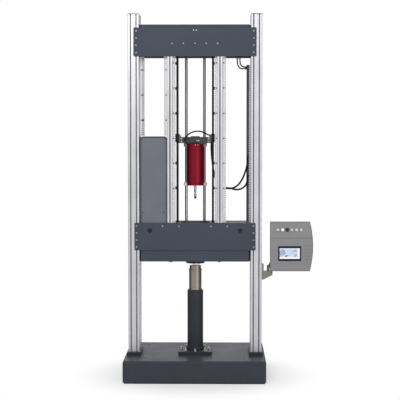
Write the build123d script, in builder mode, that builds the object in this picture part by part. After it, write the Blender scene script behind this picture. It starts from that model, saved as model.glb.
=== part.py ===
"""Falling-weight impact tester: drop tower on a heavy base, with a belt lift and a swivelling panel.

Millimetres, +Z up, origin on the floor under the impact axis, +X to the right, +Y to the rear.
"""

import math
import os

from build123d import *

os.makedirs("parts", exist_ok=True)

# Base block and column feet
base_width = 1000
base_depth = 820
base_height = 160
base_centre_y = 40
base_chamfer = 12
anchor_spacing_x = 700
anchor_spacing_y = 560
anchor_hole_radius = 9
foot_width = 100
foot_depth = 280
foot_thickness = 25
foot_chamfer = 3

# Slotted aluminium extrusions
column_spacing = 870
column_width = 80
column_depth = 240
column_length = 2395
column_cap_thickness = 5
inner_column_spacing = 354
inner_column_width = 40
inner_column_depth = 80
slot_pitch = 40
slot_mouth = 8.2
slot_lip = 4.5
slot_cavity = 20
slot_cavity_straight = 2.5
slot_floor = 10
slot_depth = 12.2
profile_corner = 4

# Cross beams, welded from plate
lower_beam_rise = 671
lower_beam_height = 274
upper_beam_drop = 72
upper_beam_height = 223
beam_end_thickness = 12
beam_end_setback = 30
beam_wall = 8
beam_floor = 15
beam_roof = 10
plate_thickness = 8
plate_corner = 6
upper_plate_width = 868
upper_plate_height = 202
lower_plate_width = 860
lower_plate_height = 195
lower_plate_rise = 2
screw_radius = 6.5
screw_head = 5
side_screw_count = 4
side_screw_pitch = 50
upper_row_count = 5
upper_row_pitch = 80
upper_row_height = 89
upper_pair_pitch = 20
upper_pair_drop = 21
lower_row_pitches = (228, 460)
lower_row_drop = 24
plug_spacing = 640
plug_drop = 53
plug_radius = 17
plug_shank_radius = 14.9
plug_head = 3
fit_clearance = 0.1

# Guide rods and the rails that steady the carriage
rod_spacing = 130
rod_y = 46
rod_radius = 10
rail_spacing = 254
rail_width = 15
rail_depth = 14
rail_bracket_thickness = 6
rail_bracket_height = 20
rail_bracket_count = 6
rail_bracket_first = 247
rail_bracket_last = 45.5
end_gap = 2

# Wire ducts and the black cable conduit
duct_depth = 40
duct_setback = 20
duct_wall = 2
outer_duct_width = 22
inner_duct_width = 17
column_duct_depth = 60
left_column_duct_width = 33
right_column_duct_width = 11
column_duct_y = -30
conduit_width = 18
conduit_depth = 25
conduit_y = -22.5
conduit_drop = 56

# Belt lift
shaft_y = 85
drive_shaft_rise = 199
idler_shaft_rise = 115
shaft_radius = 9
pulley_radius = 20
pulley_width = 10.8
pulley_flange_radius = 24.5
pulley_flange = 1.5
belt_width = 10
belt_thickness = 2.7
belt_clearance = 0.3
belt_slot_side = 6
belt_slot_front = 3
shaft_clearance = 0.05
bearing_offset = 163
bearing_width = 16
bearing_height = 50
gearbox_x = -285
gearbox_width = 120
gearbox_depth = 64
gearbox_height = 120
motor_y = 55
motor_radius = 52
motor_height = 268
motor_neck_radius = 30
motor_neck = 22
motor_fan_radius = 46
motor_fan_height = 30
motor_opening_clearance = 6

# Drive cover
cover_width = 189
cover_height = 615
cover_depth = 230
cover_front_setback = 2
cover_side_gap = 2
cover_corner = 25
cover_bevel = 12
cover_wall = 2

# Carriage
carriage_rest = 567
carriage_width = 210
carriage_height = 44
carriage_front_y = -35
carriage_rear_y = 66
carriage_edge = 3
carriage_rod_clearance = 4
end_plate_thickness = 8
end_plate_reach = 43
end_plate_rise = 22
end_plate_step = 13
end_plate_foot = 20
end_plate_slope = 18
slider_cheek = 8
slider_clearance = 0.3
slider_lip_gap = 0.5
slider_height = 60
slider_back = 19.7
clamp_width = 20
clamp_height = 26
magnet_radius = 25
magnet_flange_radius = 32
magnet_flange = 6
cable_boss_radius = 6
cable_boss_height = 12
cable_start_x = 115
cable_start_y = 4
cheek_thickness = 8
cheek_overlap = 21
cheek_reach = 12
cheek_rise = 20
cheek_corner = 5
cheek_tip = 7
hose_start_x = -74
hose_start_rise = 20
hose_boss_radius = 8
hose_boss_length = 6
hose_end_y = 6
hose_end_rise = 13
hose_end_boss = 10
latch_gap = 0.3

# Drop weight
weight_radius = 60
weight_length = 266
weight_edge = 2
guide_plate_thickness = 16
guide_ear_radius = 17
guide_ear_thickness = 8
bushing_radius = 19
bushing_neck_radius = 13
bushing_height = 24
rod_clearance = 0.1
armature_radius = 20
armature_height = 4.7
striker_radius = 8.5
striker_length = 79
tip_length = 17
weight_fall = 497
shaft_side_clearance = 16
shaft_front_clearance = 12
shaft_rear_clearance = 7

# Anvil below the lower beam
ring_radius = 68
ring_height = 21
ring_bore_radius = 21
ring_edge = 4
striker_bore_radius = 34
specimen_gap = 16
anvil_length = 176
anvil_radius = 45
anvil_shoulder_radius = 47.5
anvil_shoulder_height = 10
anvil_seat_radius = 41
anvil_seat_height = 26
anvil_bore_radius = 20
anvil_bore_depth = 120
anvil_foot_ring = 8
post_radius = 57
post_collar_radius = 66
post_collar_height = 22
flange_width = 240
flange_thickness = 25
flange_corner = 10
flange_bolt_circle_radius = 97
flange_bolt_count = 8
flange_bolt_radius = 9
flange_bolt_head = 12
buffer_radius = 15
buffer_gap = 0.5
buffer_x = 35
buffer_y = -28

# Control panel on its swivel bracket
panel_left_x = 532
panel_width = 282
panel_bulge = 23
panel_bottom_rise = 606
panel_height = 353
panel_front_y = -150
panel_front_thickness = 10
panel_depth = 60
panel_edge = 5
panel_corner = 8
shell_inset = 6
shell_taper_inset = 14
shell_wall = 3
panel_groove_rise = 236
panel_groove = 2
button_count = 6
button_pitch = 32.8
button_first = 56
button_rise = 295
button_radius = 11
button_stand = 4
button_collar_radius = 13
button_collar = 2
button_clearance = 0.05
display_x = 58
display_rise = 74
display_width = 162
display_height = 104
display_thickness = 5
display_stand = 2
display_clearance = 0.2
pivot_x = 521
pivot_y = -100
pivot_pin_radius = 5
pivot_clearance = 0.05
knuckle_radius = 10
knuckle_length = 40
pivot_gap = 0.3
lug_thickness = 12
lug_rise = 30
lug_slope = 16
bracket_depth = 30
bracket_strip_width = 14
bracket_strip_bottom = 62
bracket_strip_top = 51
bracket_arm_height = 29
bracket_arm_reach = 77
bracket_under_panel = 1

# Cords, with points chosen along their hanging routes
top_cable_radius = 4.5
carriage_hose_radius = 5
trailing_cable_radius = 5
bay_hose_radius = 5
gland_radius = 8
gland_length = 15
conduit_gland_radius = 6
conduit_gland_length = 10
clip_depth = 20
clip_height = 25
arc_share = 0.45
front_cable_y = -29
front_cable_reach = 56
front_cable_drop = 68
rear_cable_y = -16
rear_cable_reach = 37
rear_cable_drop = 56

# Heights and faces that follow from the sizes above
column_x = column_spacing / 2
column_bottom = base_height + foot_thickness
column_top = column_bottom + column_length
front_face_y = -column_depth / 2
rear_face_y = column_depth / 2
bay_edge_x = column_x - column_width / 2
column_side_x = column_x + column_width / 2
beam_half = bay_edge_x - beam_end_thickness
lower_bottom = base_height + lower_beam_rise
lower_top = lower_bottom + lower_beam_height
upper_top = column_top - upper_beam_drop
upper_bottom = upper_top - upper_beam_height
lower_plate_top = lower_top + lower_plate_rise
inner_x = inner_column_spacing / 2
inner_rear_y = front_face_y + inner_column_depth
rail_x = rail_spacing / 2
rail_front_y = inner_rear_y + rail_bracket_thickness
rail_rear_y = rail_front_y + rail_depth
rod_x = rod_spacing / 2
drive_z = lower_bottom + drive_shaft_rise
idler_z = upper_bottom + idler_shaft_rise
belt_inner = pulley_radius + belt_clearance
belt_outer = belt_inner + belt_thickness
beam_rear_inside = rear_face_y - beam_wall
belt_slot_width = belt_width + 2 * belt_slot_side
belt_slot_depth = 2 * (belt_outer + belt_slot_front)
cover_right_x = -(inner_x + inner_column_width / 2 + cover_side_gap)
cover_centre_x = cover_right_x - cover_width / 2
cover_front_y = front_face_y + cover_front_setback
cover_top = lower_top + cover_height
carriage_bottom = lower_top + carriage_rest
carriage_top = carriage_bottom + carriage_height
carriage_x = carriage_width / 2
slider_rear_y = rail_rear_y + slider_back
weight_top = carriage_bottom - latch_gap - armature_height
upper_guide_bottom = weight_top - guide_plate_thickness
weight_bottom = upper_guide_bottom - weight_length
lower_guide_bottom = weight_bottom - guide_plate_thickness
tip_top = lower_guide_bottom - striker_length
ring_bottom = lower_bottom - ring_height
anvil_top = ring_bottom - specimen_gap
post_top = anvil_top - anvil_length
post_bottom = base_height + flange_thickness
buffer_top = lower_guide_bottom - weight_fall - buffer_gap
panel_bottom = base_height + panel_bottom_rise
panel_back_y = panel_front_y + panel_front_thickness
arm_top = panel_bottom - bracket_under_panel


def write(piece, name):
    """Label one finished piece and write it to its own file."""
    piece.part.label = name
    export_step(piece.part, f"parts/{name}.step")


def slotted_section(plane, width, depth):
    """Extrusion section with T-slots on a regular pitch along all four sides."""
    slot = [
        (slot_mouth / 2, slot_lip),
        (slot_mouth / 2, -slot_lip),
        (slot_cavity / 2, -slot_lip),
        (slot_cavity / 2, -slot_lip - slot_cavity_straight),
        (slot_floor / 2, -slot_depth),
    ]
    slot += [(-x, y) for x, y in reversed(slot)]
    with BuildSketch(plane) as section:
        RectangleRounded(width, depth, profile_corner)
        for turn in (0, 90, 180, 270):
            side, reach = (width, depth) if turn % 180 == 0 else (depth, width)
            with Locations(Location((0, 0, 0), (0, 0, turn))):
                with Locations((0, reach / 2)):
                    with GridLocations(slot_pitch, slot_pitch, round(side / slot_pitch), 1):
                        Polygon(*slot, align=None, mode=Mode.SUBTRACT)
    return section.sketch


def bend_radii(points):
    """Radii of the largest tangent arcs that the runs of a cord's route allow."""
    corners = [Vector(*point) for point in points]
    radii = []
    for before, corner, after in zip(corners, corners[1:], corners[2:]):
        turn = math.radians((corner - before).get_angle(after - corner))
        shorter = min((corner - before).length, (after - corner).length)
        radii.append(arc_share * shorter / math.tan(turn / 2))
    return radii


def make_cord(name, points, radius):
    """Round tube along a hanging route, with a printed note of its length and bends."""
    radii = bend_radii(points)
    with BuildPart() as cord:
        with BuildLine() as route:
            FilletPolyline(*points, radius=radii)
        path = route.wire()
        with BuildSketch(Plane(origin=path @ 0, z_dir=path % 0)):
            Circle(radius)
        sweep(path=path)
    expected = math.pi * radius**2 * path.length
    print(name, "length", round(path.length, 1), "tightest radius", round(min(radii), 1))
    print(name, "volume share of section times length", round(cord.part.volume / expected, 4))
    write(cord, name)


# Base block: one solid slab with broken edges and four anchor holes
with BuildPart() as base_block:
    with BuildSketch(Plane.XY):
        with Locations((0, base_centre_y)):
            Rectangle(base_width, base_depth)
    extrude(amount=base_height)
    chamfer(base_block.edges(), base_chamfer)
    with Locations((0, base_centre_y, base_height)):
        with GridLocations(anchor_spacing_x, anchor_spacing_y, 2, 2):
            Hole(anchor_hole_radius)
write(base_block, "base_block")

# Foot plates between the base and the columns
with BuildPart() as foot_plates:
    with BuildSketch(Plane.XY.offset(base_height)):
        with GridLocations(column_spacing, 1, 2, 1):
            Rectangle(foot_width, foot_depth)
    extrude(amount=foot_thickness)
    chamfer(foot_plates.faces().group_by(Axis.Z)[-1].edges(), foot_chamfer)
write(foot_plates, "foot_plates")

# Outer columns, with thin end caps on top
for side, sign in (("left", -1), ("right", 1)):
    with BuildPart() as column:
        column_plane = Plane((sign * column_x, 0, column_bottom))
        extrude(slotted_section(column_plane, column_width, column_depth), amount=column_length)
    write(column, f"column_{side}")

with BuildPart() as column_caps:
    with BuildSketch(Plane.XY.offset(column_top)):
        with GridLocations(column_spacing, 1, 2, 1):
            RectangleRounded(column_width, column_depth, profile_corner)
    extrude(amount=column_cap_thickness)
    chamfer(column_caps.faces().group_by(Axis.Z)[-1].edges(), column_cap_thickness / 4)
write(column_caps, "column_caps")


def beam_shell(bottom, height):
    """Hollow beam between the columns, with end plates that stand back from its front and rear."""
    beam_depth = rear_face_y - front_face_y
    with Locations((0, 0, bottom)):
        Box(2 * beam_half, beam_depth, height, align=(Align.CENTER, Align.CENTER, Align.MIN))
        Box(
            2 * bay_edge_x,
            beam_depth - 2 * beam_end_setback,
            height,
            align=(Align.CENTER, Align.CENTER, Align.MIN),
        )
    with Locations((0, 0, bottom + beam_floor)):
        Box(
            2 * (beam_half - beam_wall),
            beam_depth - 2 * beam_wall,
            height - beam_floor - beam_roof,
            align=(Align.CENTER, Align.CENTER, Align.MIN),
            mode=Mode.SUBTRACT,
        )


# Upper beam, slotted below for the two belts
with BuildPart() as upper_beam:
    beam_shell(upper_bottom, upper_beam_height)
    with Locations((0, shaft_y, upper_bottom)):
        with GridLocations(rail_spacing, 1, 2, 1):
            Box(belt_slot_width, belt_slot_depth, 2 * beam_floor, mode=Mode.SUBTRACT)
write(upper_beam, "upper_beam")

# Lower beam, open above for the falling weight, the belts and the motor, and bored below for the striker
shaft_opening_x = rod_x + bushing_radius + shaft_side_clearance
shaft_opening_front = -weight_radius - shaft_front_clearance
shaft_opening_rear = rod_y + bushing_radius + shaft_rear_clearance
with BuildPart() as lower_beam:
    beam_shell(lower_bottom, lower_beam_height)
    with BuildSketch(Plane.XY.offset(lower_top - beam_roof)):
        with Locations((0, (shaft_opening_front + shaft_opening_rear) / 2)):
            Rectangle(2 * shaft_opening_x, shaft_opening_rear - shaft_opening_front)
        with Locations((0, shaft_y)):
            with GridLocations(rail_spacing, 1, 2, 1):
                Rectangle(belt_slot_width, belt_slot_depth)
        with Locations((gearbox_x, motor_y)):
            Circle(motor_neck_radius + motor_opening_clearance)
    extrude(amount=beam_roof, mode=Mode.SUBTRACT)
    with BuildSketch(Plane.XY.offset(lower_bottom)):
        Circle(striker_bore_radius)
    extrude(amount=beam_floor, mode=Mode.SUBTRACT)
write(lower_beam, "lower_beam")

# Front plates, screwed across the column faces
with BuildPart() as upper_front_plate:
    with BuildSketch(Plane.XZ.offset(-front_face_y)):
        with Locations((0, upper_bottom + upper_plate_height / 2)):
            RectangleRounded(upper_plate_width, upper_plate_height, plate_corner)
    extrude(amount=plate_thickness)
write(upper_front_plate, "upper_front_plate")

with BuildPart() as lower_front_plate:
    with BuildSketch(Plane.XZ.offset(-front_face_y)):
        with Locations((0, lower_plate_top - lower_plate_height / 2)):
            RectangleRounded(lower_plate_width, lower_plate_height, plate_corner)
        with Locations((0, lower_plate_top - plug_drop)):
            with GridLocations(plug_spacing, 1, 2, 1):
                Circle(plug_shank_radius + fit_clearance, mode=Mode.SUBTRACT)
    extrude(amount=plate_thickness)
write(lower_front_plate, "lower_front_plate")

# Rear plates close the backs of both beams in the same way
with BuildPart() as rear_plates:
    with BuildSketch(Plane.XZ.offset(-rear_face_y - plate_thickness)):
        with Locations((0, upper_bottom + upper_plate_height / 2)):
            RectangleRounded(upper_plate_width, upper_plate_height, plate_corner)
        with Locations((0, lower_plate_top - lower_plate_height / 2)):
            RectangleRounded(lower_plate_width, lower_plate_height, plate_corner)
    extrude(amount=plate_thickness)
write(rear_plates, "rear_plates")

# Button-head screws on the front plates
inner_slot_x = column_x - slot_pitch / 2
upper_plate_middle = upper_bottom + upper_plate_height / 2
lower_plate_middle = lower_plate_top - lower_plate_height / 2
with BuildPart() as plate_screws:
    with BuildSketch(Plane.XZ.offset(plate_thickness - front_face_y)):
        for middle in (upper_plate_middle, lower_plate_middle):
            with Locations((0, middle)):
                with GridLocations(2 * inner_slot_x, side_screw_pitch, 2, side_screw_count):
                    Circle(screw_radius)
        with Locations((0, upper_bottom + upper_row_height)):
            with GridLocations(upper_row_pitch, 1, upper_row_count, 1):
                Circle(screw_radius)
        with Locations((0, upper_bottom + upper_plate_height - upper_pair_drop)):
            with GridLocations(upper_pair_pitch, 1, 2, 1):
                Circle(screw_radius)
        for row_pitch in lower_row_pitches:
            with Locations((0, lower_plate_top - lower_row_drop)):
                with GridLocations(row_pitch, 1, 2, 1):
                    Circle(screw_radius)
    extrude(amount=screw_head)
    chamfer(plate_screws.faces().group_by(Axis.Y)[0].edges(), screw_head / 3)
write(plate_screws, "plate_screws")

# Blanking plugs in the lower front plate
with BuildPart() as blanking_plugs:
    plug_height = lower_plate_top - plug_drop
    with BuildSketch(Plane.XZ.offset(plate_thickness - front_face_y)):
        with Locations((0, plug_height)):
            with GridLocations(plug_spacing, 1, 2, 1):
                Circle(plug_radius)
    extrude(amount=plug_head)
    chamfer(blanking_plugs.faces().group_by(Axis.Y)[0].edges(), plug_head / 2)
    with BuildSketch(Plane.XZ.offset(-front_face_y)):
        with Locations((0, plug_height)):
            with GridLocations(plug_spacing, 1, 2, 1):
                Circle(plug_shank_radius)
    extrude(amount=plate_thickness)
write(blanking_plugs, "blanking_plugs")

# Inner columns stand on the lower beam and meet the upper one
for side, sign in (("left", -1), ("right", 1)):
    with BuildPart() as inner_column:
        inner_plane = Plane((sign * inner_x, front_face_y + inner_column_depth / 2, lower_top))
        extrude(
            slotted_section(inner_plane, inner_column_width, inner_column_depth),
            amount=upper_bottom - lower_top,
        )
    write(inner_column, f"inner_column_{side}")

# Black guide rails, carried off the backs of the inner columns by short arms
with BuildPart() as guide_rails:
    with BuildSketch(Plane.XY.offset(lower_top)):
        with Locations((0, (rail_front_y + rail_rear_y) / 2)):
            with GridLocations(rail_spacing, 1, 2, 1):
                Rectangle(rail_width, rail_depth)
    extrude(amount=upper_bottom - lower_top)
write(guide_rails, "guide_rails")

bracket_inner_x = rail_x - rail_width / 2
bracket_outer_x = inner_x + inner_column_width / 2
first_bracket_z = lower_top + rail_bracket_first
last_bracket_z = upper_bottom - rail_bracket_last
bracket_pitch = (last_bracket_z - first_bracket_z) / (rail_bracket_count - 1)
with BuildPart() as rail_brackets:
    for step in range(rail_bracket_count):
        bracket_z = first_bracket_z + step * bracket_pitch
        with Locations((0, inner_rear_y + rail_bracket_thickness / 2, bracket_z)):
            with GridLocations(bracket_inner_x + bracket_outer_x, 1, 2, 1):
                Box(bracket_outer_x - bracket_inner_x, rail_bracket_thickness, rail_bracket_height)
write(rail_brackets, "rail_brackets")


def duct(left_x, right_x, front_y, depth, bottom, top):
    """Closed wire duct with an open core, run upright along a column."""
    with BuildSketch(Plane.XY.offset(bottom)) as section:
        with Locations(((left_x + right_x) / 2, front_y + depth / 2)):
            Rectangle(right_x - left_x, depth)
            Rectangle(right_x - left_x - 2 * duct_wall, depth - 2 * duct_wall, mode=Mode.SUBTRACT)
    extrude(section.sketch, amount=top - bottom)


# Pale slotted ducts on both flanks of each inner column; the left outer one ends above the drive cover
duct_front_y = front_face_y + duct_setback
inner_flank = inner_x - inner_column_width / 2
outer_flank = inner_x + inner_column_width / 2
duct_bottom = lower_plate_top + end_gap
duct_top = upper_bottom
cover_duct_bottom = cover_top + end_gap
with BuildPart() as rail_wire_ducts:
    left_edge = -outer_flank - outer_duct_width
    duct(left_edge, -outer_flank, duct_front_y, duct_depth, cover_duct_bottom, duct_top)
    duct(-inner_flank, inner_duct_width - inner_flank, duct_front_y, duct_depth, duct_bottom, duct_top)
    duct(inner_flank - inner_duct_width, inner_flank, duct_front_y, duct_depth, duct_bottom, duct_top)
    duct(outer_flank, outer_flank + outer_duct_width, duct_front_y, duct_depth, duct_bottom, duct_top)
write(rail_wire_ducts, "rail_wire_ducts")

# Ducts on the inner flanks of the outer columns, and the black conduit beside the right one
column_duct_front = column_duct_y - column_duct_depth / 2
conduit_bottom = lower_plate_top + end_gap
conduit_top = upper_bottom - conduit_drop
conduit_right_x = bay_edge_x - right_column_duct_width
conduit_left_x = conduit_right_x - conduit_width
with BuildPart() as column_ducts:
    duct(
        -bay_edge_x,
        left_column_duct_width - bay_edge_x,
        column_duct_front,
        column_duct_depth,
        cover_duct_bottom,
        upper_bottom,
    )
    duct(conduit_right_x, bay_edge_x, column_duct_front, column_duct_depth, conduit_bottom, conduit_top)
write(column_ducts, "column_ducts")

with BuildPart() as cable_conduit:
    with Locations(((conduit_left_x + conduit_right_x) / 2, conduit_y, conduit_bottom)):
        Box(
            conduit_width,
            conduit_depth,
            conduit_top - conduit_bottom,
            align=(Align.CENTER, Align.CENTER, Align.MIN),
        )
    chamfer(cable_conduit.edges().filter_by(Axis.Z).group_by(Axis.X)[0], conduit_width / 6)
write(cable_conduit, "cable_conduit")

# Hardened guide rods for the weight, from the floor of the lower beam to the underside of the upper beam
with BuildPart() as guide_rods:
    with BuildSketch(Plane.XY.offset(lower_bottom + beam_floor)):
        with Locations((0, rod_y)):
            with GridLocations(rod_spacing, 1, 2, 1):
                Circle(rod_radius)
    extrude(amount=upper_bottom - lower_bottom - beam_floor)
write(guide_rods, "guide_rods")

# Lift drive: gearbox inside the lower beam, motor standing on it through the roof
gearbox_top = drive_z + gearbox_height / 2
with BuildPart() as lift_gearbox:
    with Locations((gearbox_x, beam_rear_inside, drive_z)):
        Box(gearbox_width, gearbox_depth, gearbox_height, align=(Align.CENTER, Align.MAX, Align.CENTER))
    fillet(lift_gearbox.edges().filter_by(Axis.X).group_by(Axis.Y)[0], gearbox_depth / 6)
    with Locations((gearbox_x, shaft_y, drive_z)):
        Cylinder(shaft_radius + shaft_clearance, gearbox_width, rotation=(0, 90, 0), mode=Mode.SUBTRACT)
write(lift_gearbox, "lift_gearbox")

with BuildPart() as lift_motor:
    with BuildSketch(Plane.XY.offset(gearbox_top)):
        with Locations((gearbox_x, motor_y)):
            Circle(motor_neck_radius)
    extrude(amount=motor_neck)
    with BuildSketch(Plane.XY.offset(gearbox_top + motor_neck)):
        with Locations((gearbox_x, motor_y)):
            Circle(motor_radius)
    extrude(amount=motor_height)
    with BuildSketch(Plane.XY.offset(gearbox_top + motor_neck + motor_height)):
        with Locations((gearbox_x, motor_y)):
            Circle(motor_fan_radius)
    extrude(amount=motor_fan_height)
    chamfer(lift_motor.edges().group_by(Axis.Z)[-1], motor_fan_height / 4)
write(lift_motor, "lift_motor")


def shaft_with_pulleys(left_x, right_x, height):
    """Cross shaft with a flanged pulley in line with each rail."""
    with BuildPart() as shaft:
        with Locations(((left_x + right_x) / 2, shaft_y, height)):
            Cylinder(shaft_radius, right_x - left_x, rotation=(0, 90, 0))
        with Locations((0, shaft_y, height)):
            with GridLocations(rail_spacing, 1, 2, 1):
                Cylinder(pulley_radius, pulley_width, rotation=(0, 90, 0))
            with GridLocations(rail_spacing - pulley_width - pulley_flange, 1, 2, 1):
                Cylinder(pulley_flange_radius, pulley_flange, rotation=(0, 90, 0))
            with GridLocations(rail_spacing + pulley_width + pulley_flange, 1, 2, 1):
                Cylinder(pulley_flange_radius, pulley_flange, rotation=(0, 90, 0))
    return shaft


shaft_end_x = bearing_offset + bearing_width / 2
write(shaft_with_pulleys(gearbox_x - gearbox_width / 2, shaft_end_x, drive_z), "drive_shaft")
write(shaft_with_pulleys(-shaft_end_x, shaft_end_x, idler_z), "idler_shaft")

with BuildPart() as shaft_bearings:
    bearing_depth = beam_rear_inside - shaft_y + bearing_height / 2
    for height in (drive_z, idler_z):
        with Locations((0, beam_rear_inside, height)):
            with GridLocations(2 * bearing_offset, 1, 2, 1):
                Box(
                    bearing_width,
                    bearing_depth,
                    bearing_height,
                    align=(Align.CENTER, Align.MAX, Align.CENTER),
                )
        with Locations((0, shaft_y, height)):
            Cylinder(
                shaft_radius + shaft_clearance,
                2 * shaft_end_x,
                rotation=(0, 90, 0),
                mode=Mode.SUBTRACT,
            )
write(shaft_bearings, "shaft_bearings")

# Toothed lift belts, one loop on each side, closed round both pulleys
with BuildPart() as lift_belts:
    for sign in (-1, 1):
        with BuildSketch(Plane.YZ.offset(sign * rail_x - belt_width / 2)):
            with Locations((shaft_y, (drive_z + idler_z) / 2)):
                SlotCenterToCenter(idler_z - drive_z, 2 * belt_outer, rotation=90)
                SlotCenterToCenter(idler_z - drive_z, 2 * belt_inner, rotation=90, mode=Mode.SUBTRACT)
        extrude(amount=belt_width)
write(lift_belts, "lift_belts")


def hood(inset):
    """Solid block of the cover's outer form, drawn in by an even inset and open to the beam below."""
    hood_top = cover_top - inset
    with BuildPart() as block:
        with BuildSketch(Plane.XZ.offset(-cover_front_y - inset)):
            with Locations((cover_centre_x, (lower_top + hood_top) / 2)):
                face = Rectangle(cover_width - 2 * inset, hood_top - lower_top)
            fillet(face.vertices().group_by(Axis.Y)[-1], cover_corner - inset)
        extrude(amount=-(cover_depth - 2 * inset))
        front_edges = block.faces().sort_by(Axis.Y)[0].edges()
        chamfer(front_edges.filter_by(lambda edge: edge.center().Z > hood_top - cover_corner), cover_bevel)
    return block.part


# Drive cover over the motor in the left bay: a folded hood with round shoulders and a bevelled brow
outer_hood = hood(0)
inner_hood = hood(cover_wall)
with BuildPart() as drive_cover:
    add(outer_hood)
    add(inner_hood, mode=Mode.SUBTRACT)
write(drive_cover, "drive_cover")

# Carriage beam, bored for the rods and the holding magnet
with BuildPart() as carriage_beam:
    carriage_depth = carriage_rear_y - carriage_front_y
    with Locations((0, (carriage_front_y + carriage_rear_y) / 2, carriage_bottom)):
        Box(carriage_width, carriage_depth, carriage_height, align=(Align.CENTER, Align.CENTER, Align.MIN))
    chamfer(carriage_beam.edges().filter_by(Axis.X), carriage_edge)
    with BuildSketch(Plane.XY.offset(carriage_bottom)):
        Circle(magnet_radius + fit_clearance)
        with Locations((0, rod_y)):
            with GridLocations(rod_spacing, 1, 2, 1):
                Circle(rod_radius + carriage_rod_clearance)
    extrude(amount=carriage_height, mode=Mode.SUBTRACT)
    with BuildSketch(Plane.XZ.offset(-carriage_front_y)):
        with Locations((hose_start_x, carriage_bottom + hose_start_rise)):
            Circle(hose_boss_radius)
    extrude(amount=hose_boss_length)
write(carriage_beam, "carriage_beam")

# End plates carry the carriage out to the sliders and belts, with a cheek on the beam's front
belt_front_y = shaft_y - belt_outer
for side, sign in (("left", -1), ("right", 1)):
    with BuildPart() as carriage_end:
        outer_x = carriage_x + end_plate_reach
        step_x = carriage_x + end_plate_step
        outline = [
            (carriage_x, carriage_bottom),
            (carriage_x + end_plate_foot, carriage_bottom),
            (outer_x, carriage_bottom + end_plate_slope),
            (outer_x, carriage_top + end_plate_rise),
            (step_x, carriage_top + end_plate_rise),
            (step_x, carriage_top),
            (carriage_x, carriage_top),
        ]
        with BuildSketch(Plane.XZ.offset(-slider_rear_y)):
            Polygon(*[(sign * x, z) for x, z in outline], align=None)
        extrude(amount=-end_plate_thickness)
        cheek = [
            (carriage_x - cheek_overlap, carriage_bottom),
            (carriage_x + cheek_reach - cheek_corner, carriage_bottom),
            (carriage_x + cheek_reach, carriage_bottom + end_plate_slope),
            (carriage_x + cheek_reach, carriage_top + cheek_rise),
            (carriage_x + cheek_reach - cheek_tip, carriage_top + cheek_rise),
            (carriage_x - cheek_tip, carriage_top),
            (carriage_x - cheek_overlap, carriage_top),
        ]
        with BuildSketch(Plane.XZ.offset(-carriage_front_y)):
            Polygon(*[(sign * x, z) for x, z in cheek], align=None)
        extrude(amount=cheek_thickness)
        clamp_front_y = slider_rear_y + end_plate_thickness
        clamp_depth = belt_front_y - belt_clearance - clamp_front_y
        with Locations((sign * rail_x, clamp_front_y, carriage_top)):
            Box(clamp_width, clamp_depth, clamp_height, align=(Align.CENTER, Align.MIN, Align.MAX))
        if sign == 1:
            with Locations((cable_start_x, cable_start_y, carriage_bottom)):
                Cylinder(
                    cable_boss_radius,
                    cable_boss_height,
                    align=(Align.CENTER, Align.CENTER, Align.MAX),
                )
            with Locations((step_x, hose_end_y, carriage_top + hose_end_rise)):
                Cylinder(
                    cable_boss_radius,
                    hose_end_boss,
                    rotation=(0, 90, 0),
                    align=(Align.CENTER, Align.CENTER, Align.MAX),
                )
    write(carriage_end, f"carriage_end_{side}")

# Slider blocks wrap the rails from behind
with BuildPart() as carriage_sliders:
    slider_width = rail_width + 2 * (slider_cheek + slider_clearance)
    slider_front_y = rail_front_y + slider_lip_gap
    with BuildSketch(Plane.XY.offset(carriage_top + end_plate_rise - slider_height)):
        with GridLocations(rail_spacing, 1, 2, 1):
            with Locations((0, (slider_front_y + slider_rear_y) / 2)):
                Rectangle(slider_width, slider_rear_y - slider_front_y)
            with Locations((0, rail_front_y)):
                Rectangle(
                    rail_width + 2 * slider_clearance,
                    2 * (rail_depth + slider_clearance),
                    mode=Mode.SUBTRACT,
                )
    extrude(amount=slider_height)
write(carriage_sliders, "carriage_sliders")

# Holding magnet, let into the carriage beam and hung by its flange
with BuildPart() as holding_magnet:
    with BuildSketch(Plane.XY.offset(carriage_bottom)):
        Circle(magnet_radius)
    extrude(amount=carriage_height)
    with BuildSketch(Plane.XY.offset(carriage_top)):
        Circle(magnet_flange_radius)
    extrude(amount=magnet_flange)
    chamfer(holding_magnet.edges().group_by(Axis.Z)[-1], magnet_flange / 4)
write(holding_magnet, "holding_magnet")

# Drop weight: the red mass between two guide plates that run on the rods
with BuildPart() as weight_cylinder:
    with BuildSketch(Plane.XY.offset(weight_bottom)):
        Circle(weight_radius)
    extrude(amount=weight_length)
    chamfer(weight_cylinder.edges().filter_by(GeomType.CIRCLE), weight_edge)
write(weight_cylinder, "weight_cylinder")

ear_rise = (guide_plate_thickness - guide_ear_thickness) / 2
with BuildPart() as weight_guide_plates:
    for height in (lower_guide_bottom, upper_guide_bottom):
        with BuildSketch(Plane.XY.offset(height)):
            Circle(weight_radius)
        extrude(amount=guide_plate_thickness)
        with BuildSketch(Plane.XY.offset(height + ear_rise)):
            with Locations((0, rod_y)):
                SlotCenterToCenter(rod_spacing, 2 * guide_ear_radius)
                with GridLocations(rod_spacing, 1, 2, 1):
                    Circle(bushing_neck_radius + fit_clearance, mode=Mode.SUBTRACT)
        extrude(amount=guide_ear_thickness)
write(weight_guide_plates, "weight_guide_plates")

with BuildPart() as weight_bushings:
    for height in (lower_guide_bottom, upper_guide_bottom):
        collar = (bushing_height - guide_ear_thickness) / 2
        ear_bottom = height + ear_rise
        for bottom, tall, radius in (
            (ear_bottom - collar, collar, bushing_radius),
            (ear_bottom, guide_ear_thickness, bushing_neck_radius),
            (ear_bottom + guide_ear_thickness, collar, bushing_radius),
        ):
            with BuildSketch(Plane.XY.offset(bottom)):
                with Locations((0, rod_y)):
                    with GridLocations(rod_spacing, 1, 2, 1):
                        Circle(radius)
                        Circle(rod_radius + rod_clearance, mode=Mode.SUBTRACT)
            extrude(amount=tall)
write(weight_bushings, "weight_bushings")

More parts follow.
